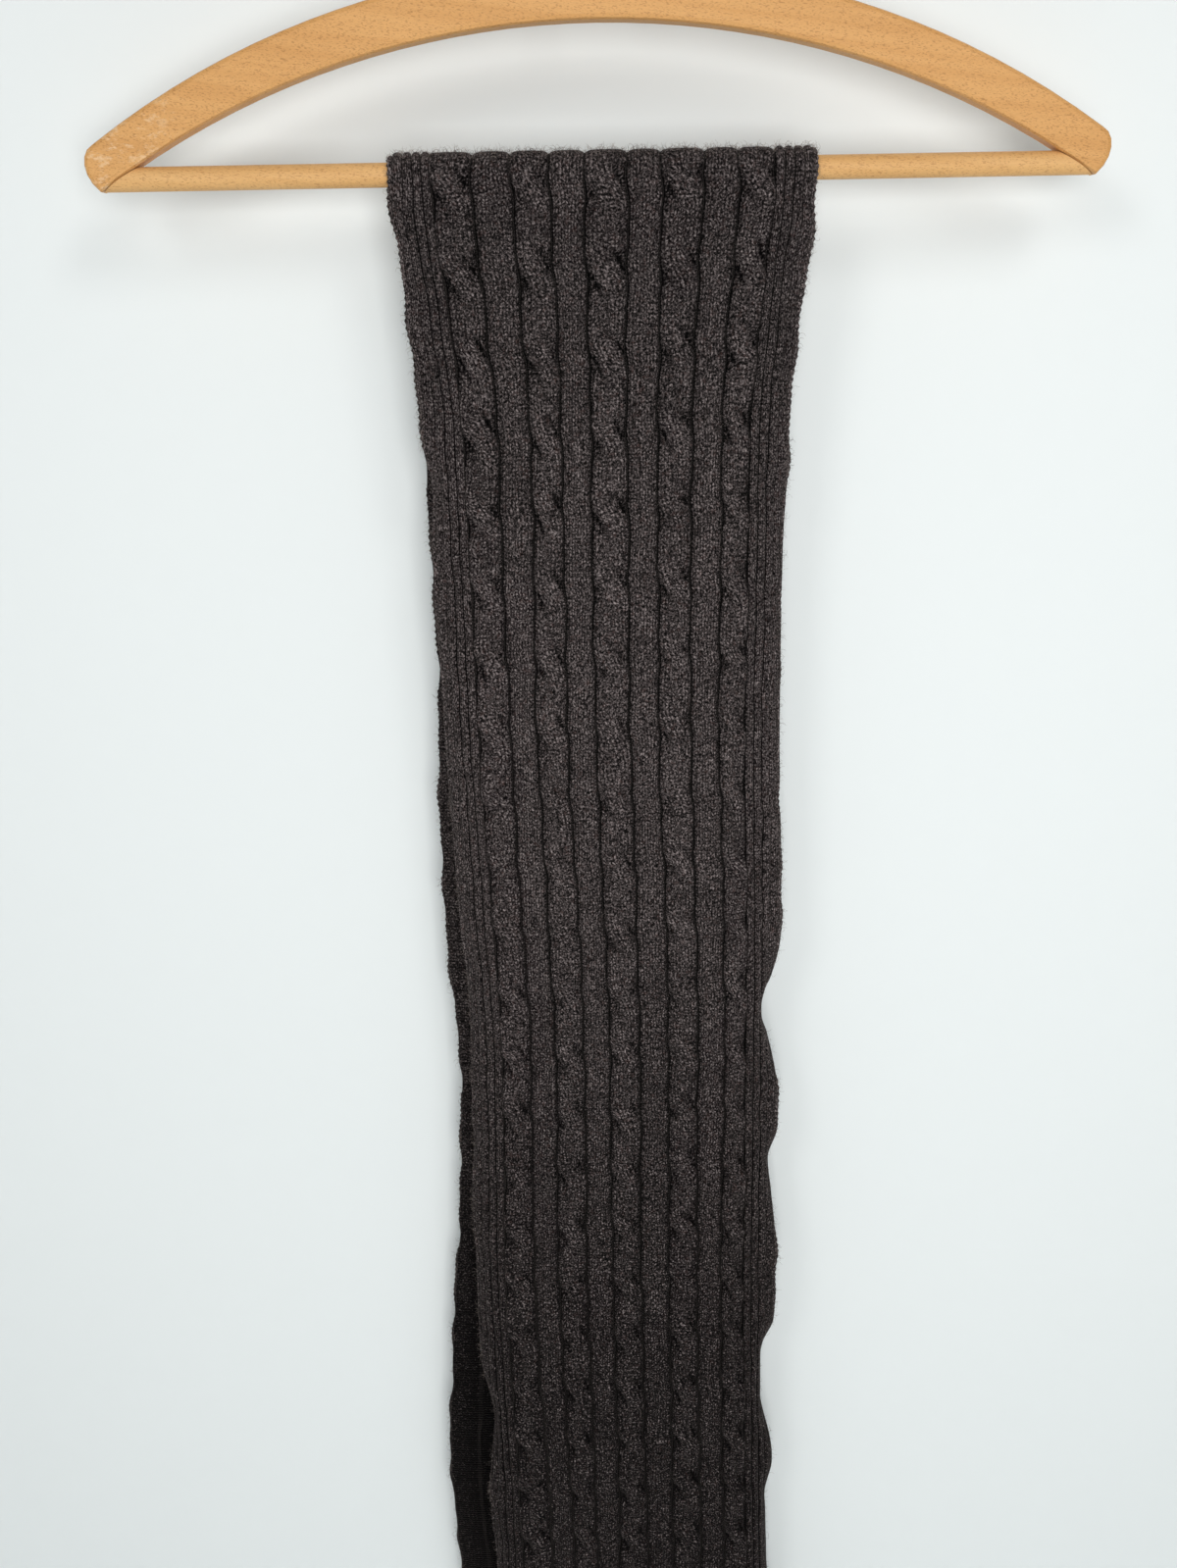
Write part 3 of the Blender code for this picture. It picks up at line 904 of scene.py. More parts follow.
@dataclass
class Knitter:
    """Lays the strip's stretches out as fine closed meshes, with what the pattern needs to know at each
    point.
    """

    strip: Strip = field(default_factory=Strip)
    pattern: Pattern = field(default_factory=Pattern)
    row_step: float = 1.08
    back_row_step: float = 1.62
    inner_every: int = 4  # rows of the right side to one of the wrong side
    fine: dict[Stitch, tuple[float, ...]] = field(
        default_factory=lambda: {
            Stitch.BORDER: (0.0, 0.25, 0.55, 1.1),
            Stitch.PLAIN: (0.0, 0.42, 0.72, 1.25, 2.8),
            Stitch.CABLE: (0.0, 0.42, 0.72, 1.25, 2.2, 3.3, 4.5, 5.9),
        }
    )
    coarse: dict[Stitch, tuple[float, ...]] = field(
        default_factory=lambda: {
            Stitch.BORDER: (0.0,),
            Stitch.PLAIN: (0.0, 0.9, 2.6),
            Stitch.CABLE: (0.0, 0.9, 2.6, 5.0),
        }
    )
    edge_steps: tuple[float, ...] = (0.0, 0.12, 0.42, 0.95)
    edge_round: float = 1.5
    free_steps: tuple[float, ...] = (0.12, 0.45, 0.9)  # extra rows beside a bound-off end
    wobble: float = 0.55  # how far the edges wander
    wobbles: tuple[Wave, ...] = ((1.0, 7.3, 3), (0.8, 3.9, 1), (0.9, 15.7, 5))
    bead: float = 0.42  # how far the selvedge's beads swell out
    bend_length: float = 11.0  # along the strip, of the stretch that the bar rounds
    crest_length: float = 5.0  # and of the nap that stands up there
    fringe_depth: float = 1.2  # of the nap along the edges
    crest_fringe: float = 1.5  # how much nap stands over the bar, to 1 at the edges
    calm_front: float = 70.0  # drop at which the front fall's cables start to flatten
    calm_back: float = 100.0
    calm_over: float = 260.0  # drop that they take to do so
    inner_edge_steps: tuple[float, ...] = (0.3, 1.2)
    inner_inset: float = 0.3  # of the wrong side's row at a bound-off end
    inner_end_fade: float = 0.6
    inner_light: float = 0.33  # painted shade of the wrong side inside the fold, as its depth near the side edges
    inner_shade: float = 0.08  # how much deeper that painted shade is on the body's wrong side

    def shares(self, steps: dict[Stitch, tuple[float, ...]], edge: tuple[float, ...]) -> Array:
        """The mesh columns, as rib index and share across the rib.

        Args:
            steps: Distances from a groove of the columns beside it, for each kind of rib.
            edge: The same from the free edge of the selvedge.

        Returns:
            One row of (rib, share) for each column of the mesh.
        """
        ribs = self.pattern.columns()
        found: list[tuple[int, float]] = []
        for index, rib in enumerate(ribs):
            if index == 0:
                found += [(0, d / rib.flat) for d in edge]
            elif index == len(ribs) - 1:
                found += [(index, 0.0)] + [(index, 1 - d / rib.flat) for d in edge[::-1]]
            else:
                near = [d / rib.flat for d in steps[rib.kind]]
                found += [(index, s) for s in near + [0.5] + [1 - s for s in near[:0:-1]]]
        return np.array(found)

    def rows(self, start: float, end: float, free_start: bool, free_end: bool) -> Array:
        """The mesh rows between two places along the strip, closer together at a free end."""
        step = self.row_step if start < self.strip.over_bar else self.back_row_step
        count = max(4, round((end - start) / step / self.inner_every) * self.inner_every)
        even = np.linspace(start, end, count + 1)
        extra = np.array(self.free_steps)
        if free_start:
            even = np.concatenate([even[:1], even[0] + extra, even[1:]])
        if free_end:
            even = np.concatenate([even[:-1], even[-1] - extra[::-1], even[-1:]])
        return even

    def layer(self, columns: Array, rows: Array, ends: tuple[bool, bool], side: float) -> dict[str, Array]:
        """One side of a stretch: its points and what the pattern needs to know at each.

        Args:
            columns: The mesh columns, as shares gives them.
            rows: Places along the strip.
            ends: Whether the first and the last row are bound-off ends.
            side: 1 for the right side and 0 for the wrong side.

        Returns:
            The arrays by attribute name, each rows by columns.
        """
        ribs = self.pattern.columns()
        run = np.repeat(rows[:, None], len(columns), 1)
        place = np.empty_like(run)
        for number, (index, share) in enumerate(columns):
            left, right = self.pattern.bounds_of(int(index), rows)
            place[:, number] = left + (right - left) * share
        index = columns[:, 0].astype(int)
        share = np.repeat(columns[None, :, 1], len(rows), 0)
        off = self.pattern.since_crossing(place, run)
        nearest = index[None, :] + (share > 0.5)
        first = self.pattern.border_ribs
        beside_cable = (nearest > first) & (nearest < first + self.pattern.body_ribs + 2)
        bead = self.bead * np.cos(math.pi * run / self.pattern.course) / BORDER_WIDTH
        outside = np.clip(-place, 0, 1) - np.clip(place - 1, 0, 1)
        place = place - self.wobble / BORDER_WIDTH * waves(run, place, self.wobbles) * outside
        place = place - bead * (1 - share) * (index == 0) + bead * share * (index == len(ribs) - 1)
        picked = [ribs[i] for i in index]
        wale = np.array([rib.first_wale for rib in picked]) + np.array([rib.wales for rib in picked]) * share
        to_side = np.minimum(place + 1, 2 - place) * BORDER_WIDTH
        to_end = np.full_like(run, np.inf)
        if ends[0]:
            to_end = np.minimum(to_end, run - rows[0])
        if ends[1]:
            to_end = np.minimum(to_end, rows[-1] - run)
        to_edge = np.minimum(to_side, to_end)
        from_crest = run - self.strip.over_bar / 2
        bend = np.exp(-((from_crest / self.bend_length) ** 2))
        crest = np.exp(-((from_crest / self.crest_length) ** 2))
        reach = np.clip(to_edge / (self.edge_round * (1 + bend)), 0, 1)
        return {
            "place": self.strip.point(place, run),
            "out": self.strip.outward(place, run),
            "kind": np.array([float(rib.kind.value) for rib in picked]) + 0 * run,
            "share": share,
            "width": np.array([rib.flat for rib in picked]) + 0 * run,
            "wale": wale,
            "run": run,
            "off": off,
            "faint": ((nearest < 3) | (nearest > len(ribs) - 3)).astype(float),
            "closed": self.pattern.swing(nearest, off)[1] * beside_cable,
            # painted shade of the wrong side, inside the fold, lighter near its side edges
            "inner": self.inner_light - self.inner_shade * smooth_step((to_side - 6.0) / 12),
            "fringe": np.maximum(np.exp(-to_edge / self.fringe_depth), self.crest_fringe * crest),
            "calm": sum(
                smooth_step((drop - start) / self.calm_over)
                for drop, start in ((-run, self.calm_front), (run, self.calm_back))
            ),
            "side": np.full_like(run, side),
            "fade": np.sqrt(1 - (1 - reach) ** 2),
            "bend": bend,
        }

    def sheet(
        self, name: str, start: float, end: float, ends: tuple[bool, bool] = (False, False)
    ) -> bpy.types.Object:
        """A stretch of the strip as a closed mesh with both sides on the middle surface.

        Args:
            name: Its name.
            start: Where it starts along the strip.
            end: Where it ends.
            ends: Whether it starts and ends bound off.

        Returns:
            The object, with the pattern's attributes on its points.
        """
        rows = self.rows(start, end, *ends)
        picked = rows[:: self.inner_every]
        if picked[-1] != rows[-1]:
            picked = np.append(picked, rows[-1])
        inner_rows = picked.copy()
        if ends[0]:
            inner_rows[0] += self.inner_inset
        if ends[1]:
            inner_rows[-1] -= self.inner_inset
        right_side = self.layer(self.shares(self.fine, self.edge_steps), rows, ends, 1.0)
        wrong_side = self.layer(self.shares(self.coarse, self.inner_edge_steps), inner_rows, ends, 0.0)
        for row, free in ((0, ends[0]), (-1, ends[1])):
            if free:
                wrong_side["fade"][row] = np.minimum(wrong_side["fade"][row], self.inner_end_fade)
        outer, inner = right_side["run"].shape, wrong_side["run"].shape
        outer_ids = np.arange(outer[0] * outer[1]).reshape(outer)
        inner_ids = np.arange(inner[0] * inner[1]).reshape(inner) + outer_ids.size
        faces = quads(outer_ids, False) + quads(inner_ids, True)
        for one, other in zip(sides(outer_ids), sides(inner_ids)):
            faces += zipped(one, other)
        points = np.concatenate([right_side["place"].reshape(-1, 3), wrong_side["place"].reshape(-1, 3)])
        mesh = bpy.data.meshes.new(name)
        mesh.from_pydata(points, [], faces)
        for key in right_side:
            if key == "place":
                continue
            both = np.concatenate([right_side[key].ravel(), wrong_side[key].ravel()]).astype(np.float32)
            kind, slot = ("FLOAT_VECTOR", "vector") if key == "out" else ("FLOAT", "value")
            mesh.attributes.new(key, kind, "POINT").data.foreach_set(slot, both)
        seams = [ids for ids, free in ((0, ends[0]), (-1, ends[1])) if not free]
        self.sharpen(mesh, [np.concatenate([outer_ids[i], inner_ids[i]]) for i in seams])
        mesh.shade_smooth()
        return placed(name, mesh)

    def sharpen(self, mesh: bpy.types.Mesh, rims: list[Array]) -> None:
        """Marks the edges within each rim as sharp, so that two stretches meet without a line."""
        ends = np.empty(len(mesh.edges) * 2, np.int32)
        mesh.edges.foreach_get("vertices", ends)
        ends = ends.reshape(-1, 2)
        sharp = np.zeros(len(ends), bool)
        for rim in rims:
            sharp |= np.isin(ends, rim).all(axis=1)
        mesh.attributes.new("sharp_edge", "BOOLEAN", "EDGE").data.foreach_set("value", sharp)


def quads(ids: Array, turned: bool) -> list[tuple[int, ...]]:
    """The faces of a grid of points, or the same facing the other way."""
    a, b, c, d = ids[:-1, :-1], ids[:-1, 1:], ids[1:, 1:], ids[1:, :-1]
    order = (a, d, c, b) if turned else (a, b, c, d)
    return list(map(tuple, np.stack(order, -1).reshape(-1, 4).tolist()))


def sides(ids: Array) -> list[Array]:
    """The four sides of a grid of points, in order round it."""
    return [ids[0], ids[:, -1], ids[-1][::-1], ids[::-1, 0]]


def zipped(one: Array, other: Array) -> list[tuple[int, ...]]:
    """Triangles between two lines of points that run side by side.

    Args:
        one: The line on the right side.
        other: The line on the wrong side.

    Returns:
        The triangles.
    """
    faces: list[tuple[int, ...]] = []
    i = j = 0
    last, end = len(one) - 1, len(other) - 1
    while i < last or j < end:
        if j == end or (i < last and (i + 0.5) / last <= (j + 0.5) / end):
            faces.append((int(one[i + 1]), int(one[i]), int(other[j])))
            i += 1
        else:
            faces.append((int(one[i]), int(other[j]), int(other[j + 1])))
            j += 1
    return faces


@dataclass
class Relief:
    """The heights of the pattern over the middle surface. Millimetres."""

    groove: float = 0.0
    ground: float = 0.85  # purl ground beside a crossing
    groove_half: float = 0.38  # half the width of a groove's floor
    filled: float = 0.2  # how much a front strand fills the groove it leans on
    ragged: float = 0.17  # how much the grooves' depth wanders
    plain: float = 1.62
    crown: float = 0.22
    strand: float = 1.78
    lift: float = 0.85  # of the front strand at a crossing
    sink: float = 0.85  # of the back strand
    crease: float = 0.85  # of the line where one strand goes under the other
    crease_half: float = 1.3
    depth_scale: float = 2.4
    border: float = 1.3
    border_groove: float = 0.35
    faint_groove: float = 0.72  # near the selvedges
    selvedge: float = 1.5
    shoulder: float = 3.0
    strand_off: float = 0.205  # of the strands from the cable's middle, as a share of its width
    strand_half: float = 0.305
    spread: float = 0.09  # how much wider the front strand lies at a crossing
    front_cross: float = 33.0
    back_cross: float = 20.0
    wrong_side: float = 1.3
    uneven: float = 0.16
    calmer: float = 0.2  # how much flatter the cables are low on the falls
    calm_ground: float = 0.3  # how much higher the ground beside them lies there
    bulge: float = 0.1  # how much prouder the ribs stand over the bar
    bridged: float = 0.45  # how much shallower the grooves are there
    corner: float = 0.8  # and the borders
    border_half: float = 0.2  # half the width of a border groove's floor
    border_shoulder: float = 1.45
    strand_shoulder: float = 1.3  # between a cable's strands and its grooves
    crease_from: float = 8.0  # distance from the crossing at which the crease fades
    crease_to: float = 15.0  # and ends
    strand_wales: float = 1.5  # from a strand's middle to its side
    wrong_ridge: float = 0.3  # of the grooves, seen from the wrong side
    wrong_shoulder: float = 1.2
    course: float = 1.62
    bump_cells: float = 85.0  # to a metre
    worn_cells: float = 210.0
    patches_from: float = 0.42
    worn_gain: float = 4.0
    vigour_cells: float = 28.0
    vigour_least: float = 0.65  # of a cable's height at its crossings
    vigour_range: float = 0.7
    deepest: float = 1.3  # the greatest "depth" from height, which lifts the wool's painted shade to a painted highlight
    border_light: float = 0.28  # painted highlight on the borders' ribs, to a millimetre of their height
    border_shade: float = 0.17  # painted shade over the borders

    def tree(self, wool: bpy.types.Material) -> GeometryTree:
        """The Geometry Nodes tree that raises ribs and cables on a stretch.

        Args:
            wool: The material it sets.

        Returns:
            The tree.
        """
        t = GeometryTree("knit_relief")
        v = t.inputs_of(self)
        material = t.given("Material", wool, "NodeSocketMaterial")
        share, width, off, kind, side = map(t.attribute, ("share", "width", "off", "kind", "side"))
        fade, run, wale, bend, calm = map(t.attribute, ("fade", "run", "wale", "bend", "calm"))
        is_edge, is_border, is_cable = kind < -0.5, kind < 0.5, kind > 1.5

        place = t.node("GeometryNodeInputPosition").outputs[0]
        bumps = t.noise(place, v.bump_cells, 2.0) - 0.5
        worn = (t.noise(place, v.worn_cells, 2.0) - v.patches_from).most(0.0) * v.ragged * v.worn_gain
        groove = v.groove + bend * v.bridged + t.attribute("closed") * v.filled + worn
        from_groove = share.least(1.0 - share) * width
        from_floor = (from_groove - v.groove_half).most(0.0)
        rounded = (from_floor / v.shoulder).round_shoulder()
        plain = rounded.between(groove, v.plain)
        plain = plain + (share * math.pi).sine() * (v.crown + bend * v.bulge)

        front_step = (off / (v.front_cross * 0.5)).held(-1.0, 1.0)
        back_step = (off / (v.back_cross * 0.5)).held(-1.0, 1.0)
        bell = (front_step * math.pi).cosine() * 0.5 + 0.5
        vigour = t.noise(place, v.vigour_cells, 1.0).smooth(0.3, 0.7) * v.vigour_range + v.vigour_least
        vigour = vigour * (1.0 - calm * v.calmer)
        front_at = -((front_step * (math.pi / 2)).sine() * v.strand_off)
        back_at = (back_step * (math.pi / 2)).sine() * v.strand_off
        across = share - 0.5
        front_half = v.strand_half + bell * v.spread
        front_off, back_off = (across - front_at) / front_half, (across - back_at) / v.strand_half
        front_round, back_round = ((1.0 - one * one).most(0.0).root() for one in (front_off, back_off))
        front = front_round.between(groove, v.strand + bell * v.lift * vigour)
        back = back_round.between(groove, v.strand - bell * v.sink * vigour)
        side_in = (from_floor / v.strand_shoulder).round_shoulder()
        crossed = side_in.between(groove, front.most(back).most(v.ground + calm * v.calm_ground))
        over = (across - front_at) * off.held(-1.0, 1.0) - front_half
        under = (1.0 - abs(over) * width / v.crease_half).held()
        under = under * (1.0 - abs(off).smooth(v.crease_from, v.crease_to))
        cable = bell.smooth(0.0, 0.4).between(plain, crossed) - under * v.crease * vigour
        strand_wale = (front > back).between(back_off, front_off) * v.strand_wales + v.strand_wales

        border_low = t.attribute("faint").between(v.border_groove, v.faint_groove)
        border = ((from_groove - v.border_half) / v.border_shoulder).most(0.0).round_shoulder()
        border = border.between(border_low, v.border + bend * v.corner)
        border = is_edge.between(border, v.selvedge)
        right = is_cable.between(is_border.between(plain, border), cable) + bumps * v.uneven * 2.0
        raised = 1.0 - (from_groove / v.wrong_shoulder).round_shoulder()
        wrong = -(v.wrong_side + raised * v.wrong_ridge + bumps * v.uneven)
        height = side.between(wrong, right) * fade

        values = {"Geometry": t.source.outputs[0]}
        values["Offset"] = t.scaled(t.attribute_vector("out"), height * MM)
        moved = t.node("GeometryNodeSetPosition", values).outputs[0]
        knit = t.vector(is_cable.between(wale, strand_wale), run / v.course, side)
        # depth paints shade by height: dark in grooves, lighter on raised strands, a painted highlight on
        # the selvedge.
        depth = ((right - v.groove) / v.depth_scale).held(0.0, v.deepest) + is_edge
        depth = depth + is_border * (right * v.border_light - v.border_shade)
        moved = t.stored(moved, "knit", knit, "FLOAT_VECTOR")
        # On the wrong side, depth is the painted shade inside the fold, from "inner".
        moved = t.stored(moved, "depth", side.between(t.attribute("inner"), depth), "FLOAT")
        t.end(moved, material)
        return t


@dataclass
class Nap:
    """Loose fibres on the cloth, thick along its edges and over the bar."""

    edge_density: float = 700_000.0  # fibres to a square metre of the very edge
    hair_density: float = 1_500.0
    fibre_radius: float = 0.05 * MM
    hair_radius: float = 0.042 * MM

    def tree(self, wool: bpy.types.Material) -> GeometryTree:
        """The Geometry Nodes tree that stands fibres on a stretch.

        Args:
            wool: The material it sets.

        Returns:
            The tree.
        """
        t = GeometryTree("wool_nap")
        v = t.inputs_of(self)
        material = t.given("Material", wool, "NodeSocketMaterial")
        short = ((0.0, 0.0, -0.4 * MM), (-0.3 * MM, 0.2 * MM, 2.0 * MM), (1.9 * MM, 0.5 * MM, 1.3 * MM))
        long = ((-4.5 * MM, 0.0, -0.3 * MM), (0.0, 4.0 * MM, 2.4 * MM), (4.5 * MM, -1.0 * MM, 0.2 * MM))
        edge = (t.attribute("fringe") - 0.12).most(0.0) * v.edge_density
        face = t.attribute("side") * v.hair_density
        thick = self.scattered(t, edge, short, v.fibre_radius, (1.1, 0.35, 1.5), 11)
        sparse = self.scattered(t, face, long, v.hair_radius, (0.15, 0.3, 1.2), 23)
        joined = t.node("GeometryNodeJoinGeometry")
        t.feed(joined.inputs[0], thick)
        t.feed(joined.inputs[0], sparse)
        t.end(joined.outputs[0], material)
        return t

    def scattered(
        self,
        t: GeometryTree,
        density: Number,
        bends: tuple[Point, Point, Point],
        radius: Number,
        spread: tuple[float, float, float],
        seed: int,
    ) -> bpy.types.NodeSocket:
        """Stands one fibre all over the mesh, turned and sized by chance.

        Args:
            t: The tree it goes in.
            density: Fibres to a square metre.
            bends: The fibre's root, bend and tip, with Z out of the cloth.
            radius: The fibre's radius at its root.
            spread: How far it leans at most, in radians, and its least and greatest size.
            seed: Sets the chance.

        Returns:
            The instances.
        """
        lean, least, most = spread
        values = {"Mesh": t.source.outputs[0], "Density": density, "Seed": seed}
        roots = t.node("GeometryNodeDistributePointsOnFaces", values, distribute_method="RANDOM")
        values = {"Resolution": 4, **dict(zip(("Start", "Middle", "End"), bends))}
        line = t.node("GeometryNodeCurveQuadraticBezier", values).outputs[0]
        values = {"Resolution": 3, "Radius": radius}
        ring = t.node("GeometryNodeCurvePrimitiveCircle", values, mode="RADIUS").outputs[0]
        taper = 1.1 - Number(t, t.node("GeometryNodeSplineParameter").outputs["Factor"]) * 0.7
        values = {"Curve": line, "Profile Curve": ring, "Scale": taper, "Fill Caps": True}
        tube = t.node("GeometryNodeCurveToMesh", values).outputs[0]
        values = {0: (-lean, -lean, 0.0), 1: (lean, lean, 2 * math.pi), 8: seed + 1}
        turn = t.node("FunctionNodeRandomValue", values, data_type="FLOAT_VECTOR").outputs[0]
        turn = t.node("FunctionNodeEulerToRotation", {0: turn}).outputs[0]
        values = {"Rotation": roots.outputs["Rotation"], "Rotate By": turn}
        turn = t.node("FunctionNodeRotateRotation", values, rotation_space="LOCAL").outputs[0]
        values = {2: least, 3: most, 8: seed + 2}
        size = t.node("FunctionNodeRandomValue", values, data_type="FLOAT").outputs[1]
        return t.instances(roots.outputs["Points"], tube, turn, size)


@dataclass
class BoundOff:
    """The chain of bound-off stitches along a free end. Millimetres."""

    links: int = 62
    half_length: float = 1.65
    half_thick: float = 0.75
    apart: float = 0.8  # of the two rows from the middle surface
    lean: float = 0.4  # how much the links lie across the row

    def tree(self, wool: bpy.types.Material) -> GeometryTree:
        """The Geometry Nodes tree that sets a link at each point.

        Args:
            wool: The material it sets.

        Returns:
            The tree.
        """
        t = GeometryTree("bound_off")
        long = t.given("Half length", self.half_length * MM)
        thick = t.given("Half thickness", self.half_thick * MM)
        material = t.given("Material", wool, "NodeSocketMaterial")
        link = t.node("GeometryNodeMeshUVSphere", {"Segments": 8, "Rings": 5, "Radius": 1.0}).outputs[0]
        link = t.node("GeometryNodeSetShadeSmooth", {0: link}).outputs[0]
        values = {"Vector": t.attribute_vector("along")}
        turn = t.node("FunctionNodeAlignRotationToVector", values, axis="X").outputs[0]
        t.end(t.instances(t.source.outputs[0], link, turn, t.vector(long, thick, thick)), material)
        return t

    def points(self, strip: Strip, run: float) -> bpy.types.Object:
        """The links' middles, with the way that each lies.

        Args:
            strip: The scarf's sizes.
            run: Where the end is along the strip.

        Returns:
            The object.
        """
        flat = (np.arange(self.links) + 0.5) / self.links * strip.width
        place = np.interp(flat, (0, strip.border, strip.width - strip.border, strip.width), (-1, 0, 1, 2))
        runs = np.full_like(place, run)
        middle, out = strip.point(place, runs), strip.outward(place, runs)
        across = strip.point(place + 0.01, runs) - strip.point(place - 0.01, runs)
        across /= np.linalg.norm(across, axis=-1, keepdims=True)
        up = np.cross(out, across)
        rows = [(middle + out * side * self.apart * MM, across + up * side * self.lean) for side in (1, -1)]
        mesh = bpy.data.meshes.new("bound_off_points")
        mesh.from_pydata(np.concatenate([row[0] for row in rows]), [], [])
        ways = np.concatenate([row[1] for row in rows]).astype(np.float32)
        mesh.attributes.new("along", "FLOAT_VECTOR", "POINT").data.foreach_set("vector", ways.ravel())
        return placed("bound_off_points", mesh)


WORKING_ATTRIBUTES = (
    "kind", "share", "width", "wale", "run", "off", "side", "fade",
    "out", "bend", "closed", "faint", "inner", "fringe", "calm", "along",
)  # fmt: skip


class Stretch(NamedTuple):
    """A stretch of the strip that is one piece."""

    name: str
    node: str
    start: float
    end: float
    ends: tuple[bool, bool]


@dataclass
class Scarf:
    """The knitted strip over the bar: its stretches, bound-off ends and nap."""

    knitter: Knitter = field(default_factory=Knitter)
    relief: Relief = field(default_factory=Relief)
    wool: WoolKnit = field(default_factory=WoolKnit)
    nap: Nap = field(default_factory=Nap)
    fibres: WoolNap = field(default_factory=WoolNap)
    bound_off: BoundOff = field(default_factory=BoundOff)

    def stretches(self) -> list[Stretch]:
        """The stretches, from the front fall's end to the back fall's."""
        strip = self.knitter.strip
        front, over, back = -strip.front_fall, strip.over_bar, strip.over_bar + strip.back_fall
        middle = over + strip.back_fall / 2
        return [
            Stretch("scarf_front_lower", "scarf_front", front, front / 2, (True, False)),
            Stretch("scarf_front_upper", "scarf_front", front / 2, 0.0, (False, False)),
            Stretch("scarf_fold", "scarf_over_bar", 0.0, over, (False, False)),
            Stretch("scarf_back_upper", "scarf_back", over, middle, (False, False)),
            Stretch("scarf_back_lower", "scarf_back", middle, back, (False, True)),
        ]

    def build(self) -> None:
        wool = self.wool.build()
        relief = self.relief.tree(wool)
        loose, chain = self.nap.tree(self.fibres.build()), self.bound_off.tree(wool)
        for stretch in self.stretches():
            flat = self.knitter.sheet(stretch.name + "_flat", stretch.start, stretch.end, stretch.ends)
            piece = relief.grow(stretch.name, flat)
            extras = [loose.grow(stretch.name + "_nap", placed("nap_source", piece.data.copy()))]
            for free, run in zip(stretch.ends, (stretch.start, stretch.end)):
                if free:
                    points = self.bound_off.points(self.knitter.strip, run)
                    extras.append(chain.grow(stretch.name + "_bound_off", points))
            for made in [piece, *extras]:
                self.strip_attributes(made.data)
                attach(made, "root")
                report(made)
            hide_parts(stretch.node)

    def strip_attributes(self, mesh: bpy.types.Mesh) -> None:
        """Takes the pattern's working attributes off a finished mesh."""
        for name in WORKING_ATTRIBUTES:
            if name in mesh.attributes:
                mesh.attributes.remove(mesh.attributes[name])


# ---------------------------------------------------------------- hanger and stage


@dataclass
class Hanger:
    """The board, bar and hook, which keep their solids."""

    wood: Beech = field(default_factory=Beech)
    bar_wood: Beech = field(
        default_factory=lambda: Beech(
            "beech_bar",
            pale=(0.72, 0.425, 0.172),
            deep=(0.61, 0.325, 0.112),
            fleck_share=0.45,
            patches_from=-1.0,
        )
    )
    wire: SteelWire = field(default_factory=SteelWire)

    def build(self) -> None:
        """Dresses the hanger's nodes."""
        finishes = {"hanger_arm": self.wood, "hanger_bar": self.bar_wood, "hanger_hook": self.wire}
        for name, finish in finishes.items():
            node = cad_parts[name]
            material = finish.build()
            for slot in node.material_slots:
                slot.material = material
            report(node)


class Lamp(NamedTuple):
    """A soft square light. Metres and watts."""

    name: str
    place: Point
    aim: Point
    size: float
    power: float
    colour: Colour


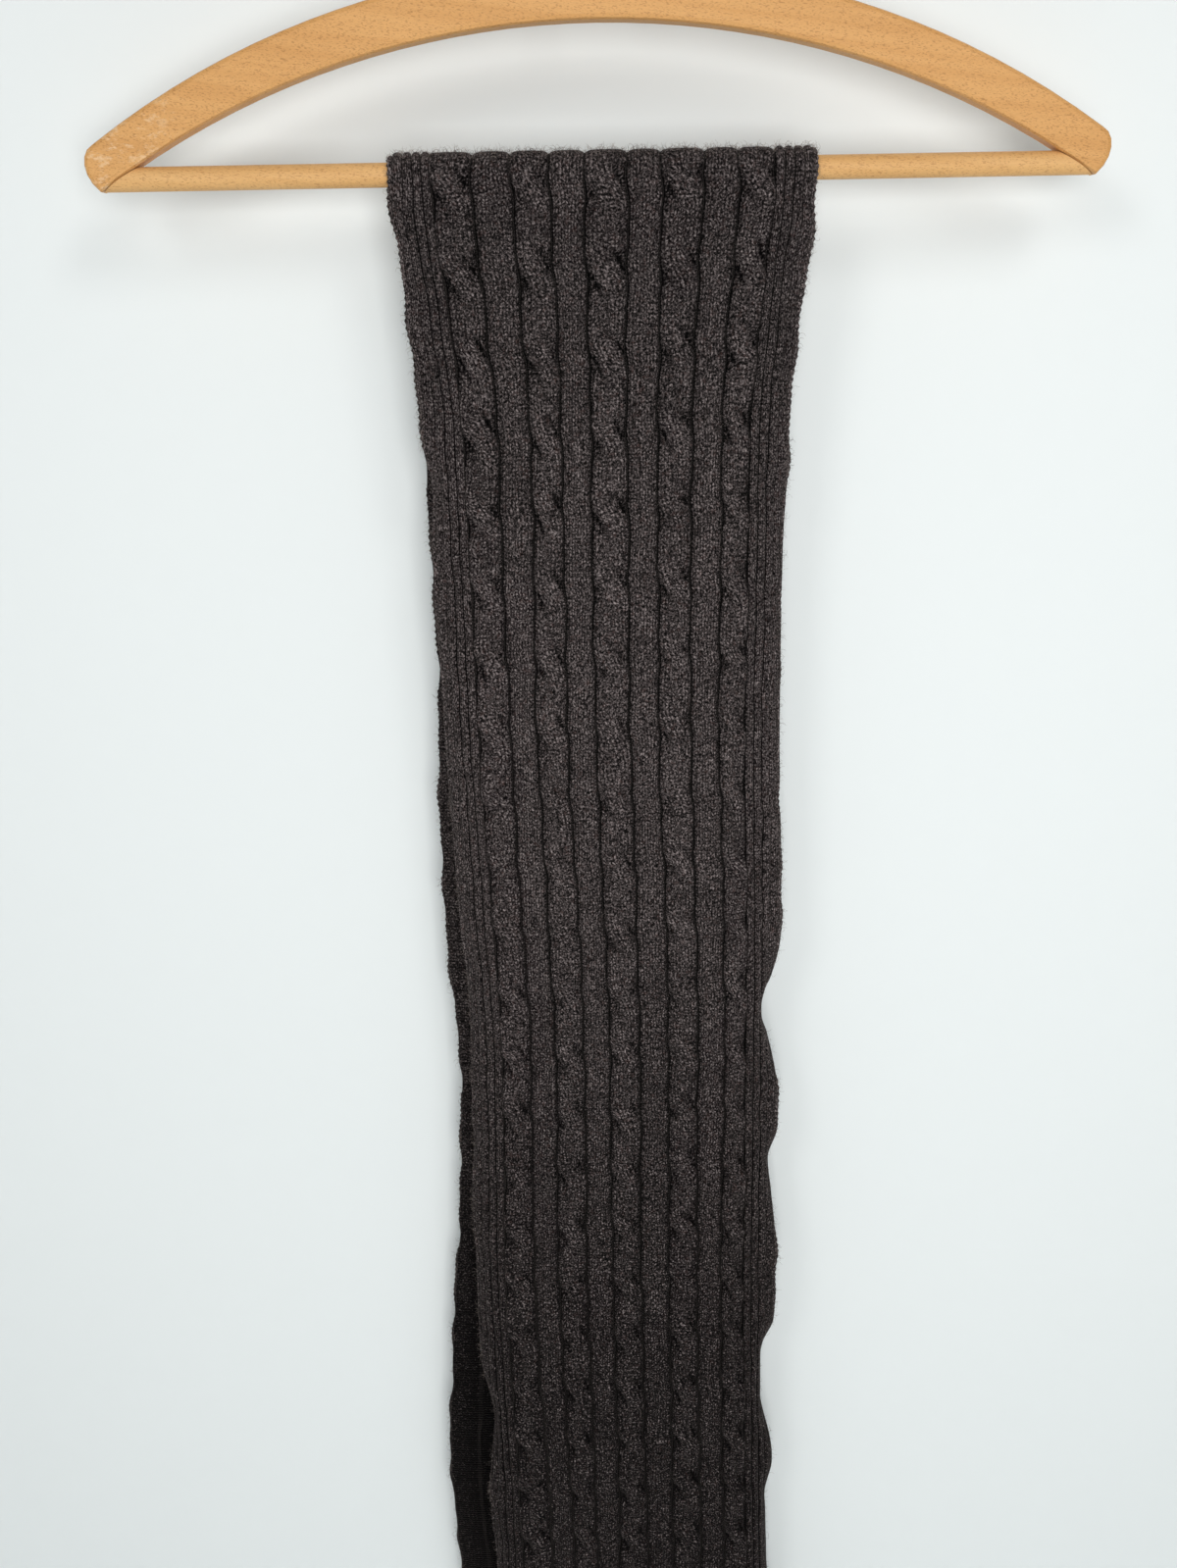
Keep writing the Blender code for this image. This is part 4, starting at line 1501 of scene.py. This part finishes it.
@dataclass
class Studio:
    """The plain pale wall and floor, the lights and the camera."""

    wall_y: float = 0.052  # at the height of the hook
    wall_lean: float = 0.024  # how far it comes forward a metre down
    wall_top: float = 2.2
    half_width: float = 3.0
    floor_z: float = -1.16
    wall_colour: Colour = (0.80, 0.836, 0.838)
    lens: float = 33.77
    camera_place: Point = (-0.00884, -0.68116, -0.20987)
    pitch: float = math.radians(18.0)
    roll: float = math.radians(1.04)
    sky: tuple[float, float, float, float] = (0.90, 0.96, 1.0, 1.0)
    sky_strength: float = 0.22
    lamps: tuple[Lamp, ...] = (
        Lamp("front", (0.10, -1.25, -0.27), (0.10, 0.0, -0.32), 0.55, 10.9, (1.0, 0.99, 0.975)),
        Lamp("left", (-1.0, -1.9, 0.75), (0.0, 0.0, -0.3), 0.6, 7.6, (1.0, 0.985, 0.96)),
        Lamp("right", (0.85, -1.8, 1.15), (0.0, 0.0, -0.3), 0.6, 8.4, (1.0, 0.985, 0.96)),
        Lamp("rear", (0.6, 1.9, 0.5), (0.0, 0.0, -0.45), 1.6, 14.0, (1.0, 0.99, 0.97)),
    )

    def build(self) -> None:
        """Builds the stage and sets the camera and the lights."""
        self.build_wall()
        self.build_camera()
        self.build_lights()

    def paint(self, name: str, one_sided: bool) -> bpy.types.Material:
        """Matt paint, which can be clear from behind.

        Args:
            name: The material's name.
            one_sided: Whether it is clear from behind, so that the object shows.

        Returns:
            The material.
        """
        made = Material(name, Roughness=0.9, Specular_IOR_Level=0.1)
        grain = made.noise(made.place, 60.0, 3.0)
        made.dress(Base_Color=made.mixed(grain * 0.03, self.wall_colour, (0.7, 0.74, 0.75)))
        if one_sided:
            behind = Number(made, made.node("ShaderNodeNewGeometry").outputs["Backfacing"])
            shadow = Number(made, made.node("ShaderNodeLightPath").outputs["Is Shadow Ray"])
            clear = made.node("ShaderNodeBsdfTransparent").outputs[0]
            paint = made.shader.outputs[0]
            both = made.node("ShaderNodeMixShader", {0: behind.most(shadow), 1: paint, 2: clear})
            made.feed(made.tree.nodes["Material Output"].inputs["Surface"], both.outputs[0])
        return made.material

    def pane(self, name: str, corners: list[Point], one_sided: bool) -> bpy.types.Mesh:
        """A painted rectangle.

        Args:
            name: Its name.
            corners: Its corners in order.
            one_sided: Whether it is clear from behind.

        Returns:
            The mesh.
        """
        mesh = bpy.data.meshes.new(name)
        mesh.from_pydata(corners, [], [(0, 1, 2, 3)])
        mesh.materials.append(self.paint(name + "_paint", one_sided))
        return mesh

    def build_wall(self) -> None:
        """Adds the wall behind the object and the floor below it."""
        wide, high, z = self.half_width, self.wall_top, self.floor_z
        low, top = self.wall_y + z * self.wall_lean, self.wall_y + high * self.wall_lean
        upright = [(-wide, low, z), (wide, low, z), (wide, top, high), (-wide, top, high)]
        level = [(-wide, -wide, z), (wide, -wide, z), (wide, wide, z), (-wide, wide, z)]
        wall, floor = self.pane("wall", upright, True), self.pane("floor", level, False)
        placed("wall", wall)
        placed("floor", floor)

    def build_camera(self) -> None:
        """Adds the camera, looking a little down and turned a little."""
        forward = Vector((0, math.cos(self.pitch), -math.sin(self.pitch)))
        down = Vector((0, -math.sin(self.pitch), -math.cos(self.pitch)))
        across = Vector((1, 0, 0))
        right = across * math.cos(self.roll) + down * math.sin(self.roll)
        up = across * math.sin(self.roll) - down * math.cos(self.roll)
        data = bpy.data.cameras.new("camera")
        data.lens, data.sensor_width, data.clip_start = self.lens, 36.0, 0.02
        camera = placed("camera", data)
        turn = Matrix((right, up, -forward)).transposed().to_4x4()
        camera.matrix_world = Matrix.Translation(self.camera_place) @ turn
        bpy.context.scene.camera = camera

    def build_lights(self) -> None:
        """Adds the lights and the pale surroundings."""
        world = bpy.data.worlds.new("surroundings")
        world.use_nodes = True
        world.node_tree.nodes["Background"].inputs["Color"].default_value = self.sky
        world.node_tree.nodes["Background"].inputs["Strength"].default_value = self.sky_strength
        bpy.context.scene.world = world
        for lamp in self.lamps:
            data = bpy.data.lights.new(lamp.name, "AREA")
            data.size, data.energy, data.color = lamp.size, lamp.power, lamp.colour
            light = placed(lamp.name, data)
            light.location = lamp.place
            light.rotation_mode = "QUATERNION"
            light.rotation_quaternion = (Vector(lamp.aim) - Vector(lamp.place)).to_track_quat("-Z", "Y")
        bpy.context.scene.view_settings.view_transform = "Standard"


def report(piece: bpy.types.Object) -> None:
    """Logs a piece's size and its triangles."""
    mesh = piece.data
    mesh.calc_loop_triangles()
    size = " x ".join(f"{side * 1000:.0f}" for side in piece.dimensions)
    LOG.info("%s: %d triangles, %s mm", piece.name, len(mesh.loop_triangles), size)


def main() -> None:
    """Builds everything round the frame."""
    logging.basicConfig(level=logging.INFO, format="%(name)s: %(message)s")
    Studio().build()
    Hanger().build()
    Scarf().build()


if __name__ == "__main__":
    main()
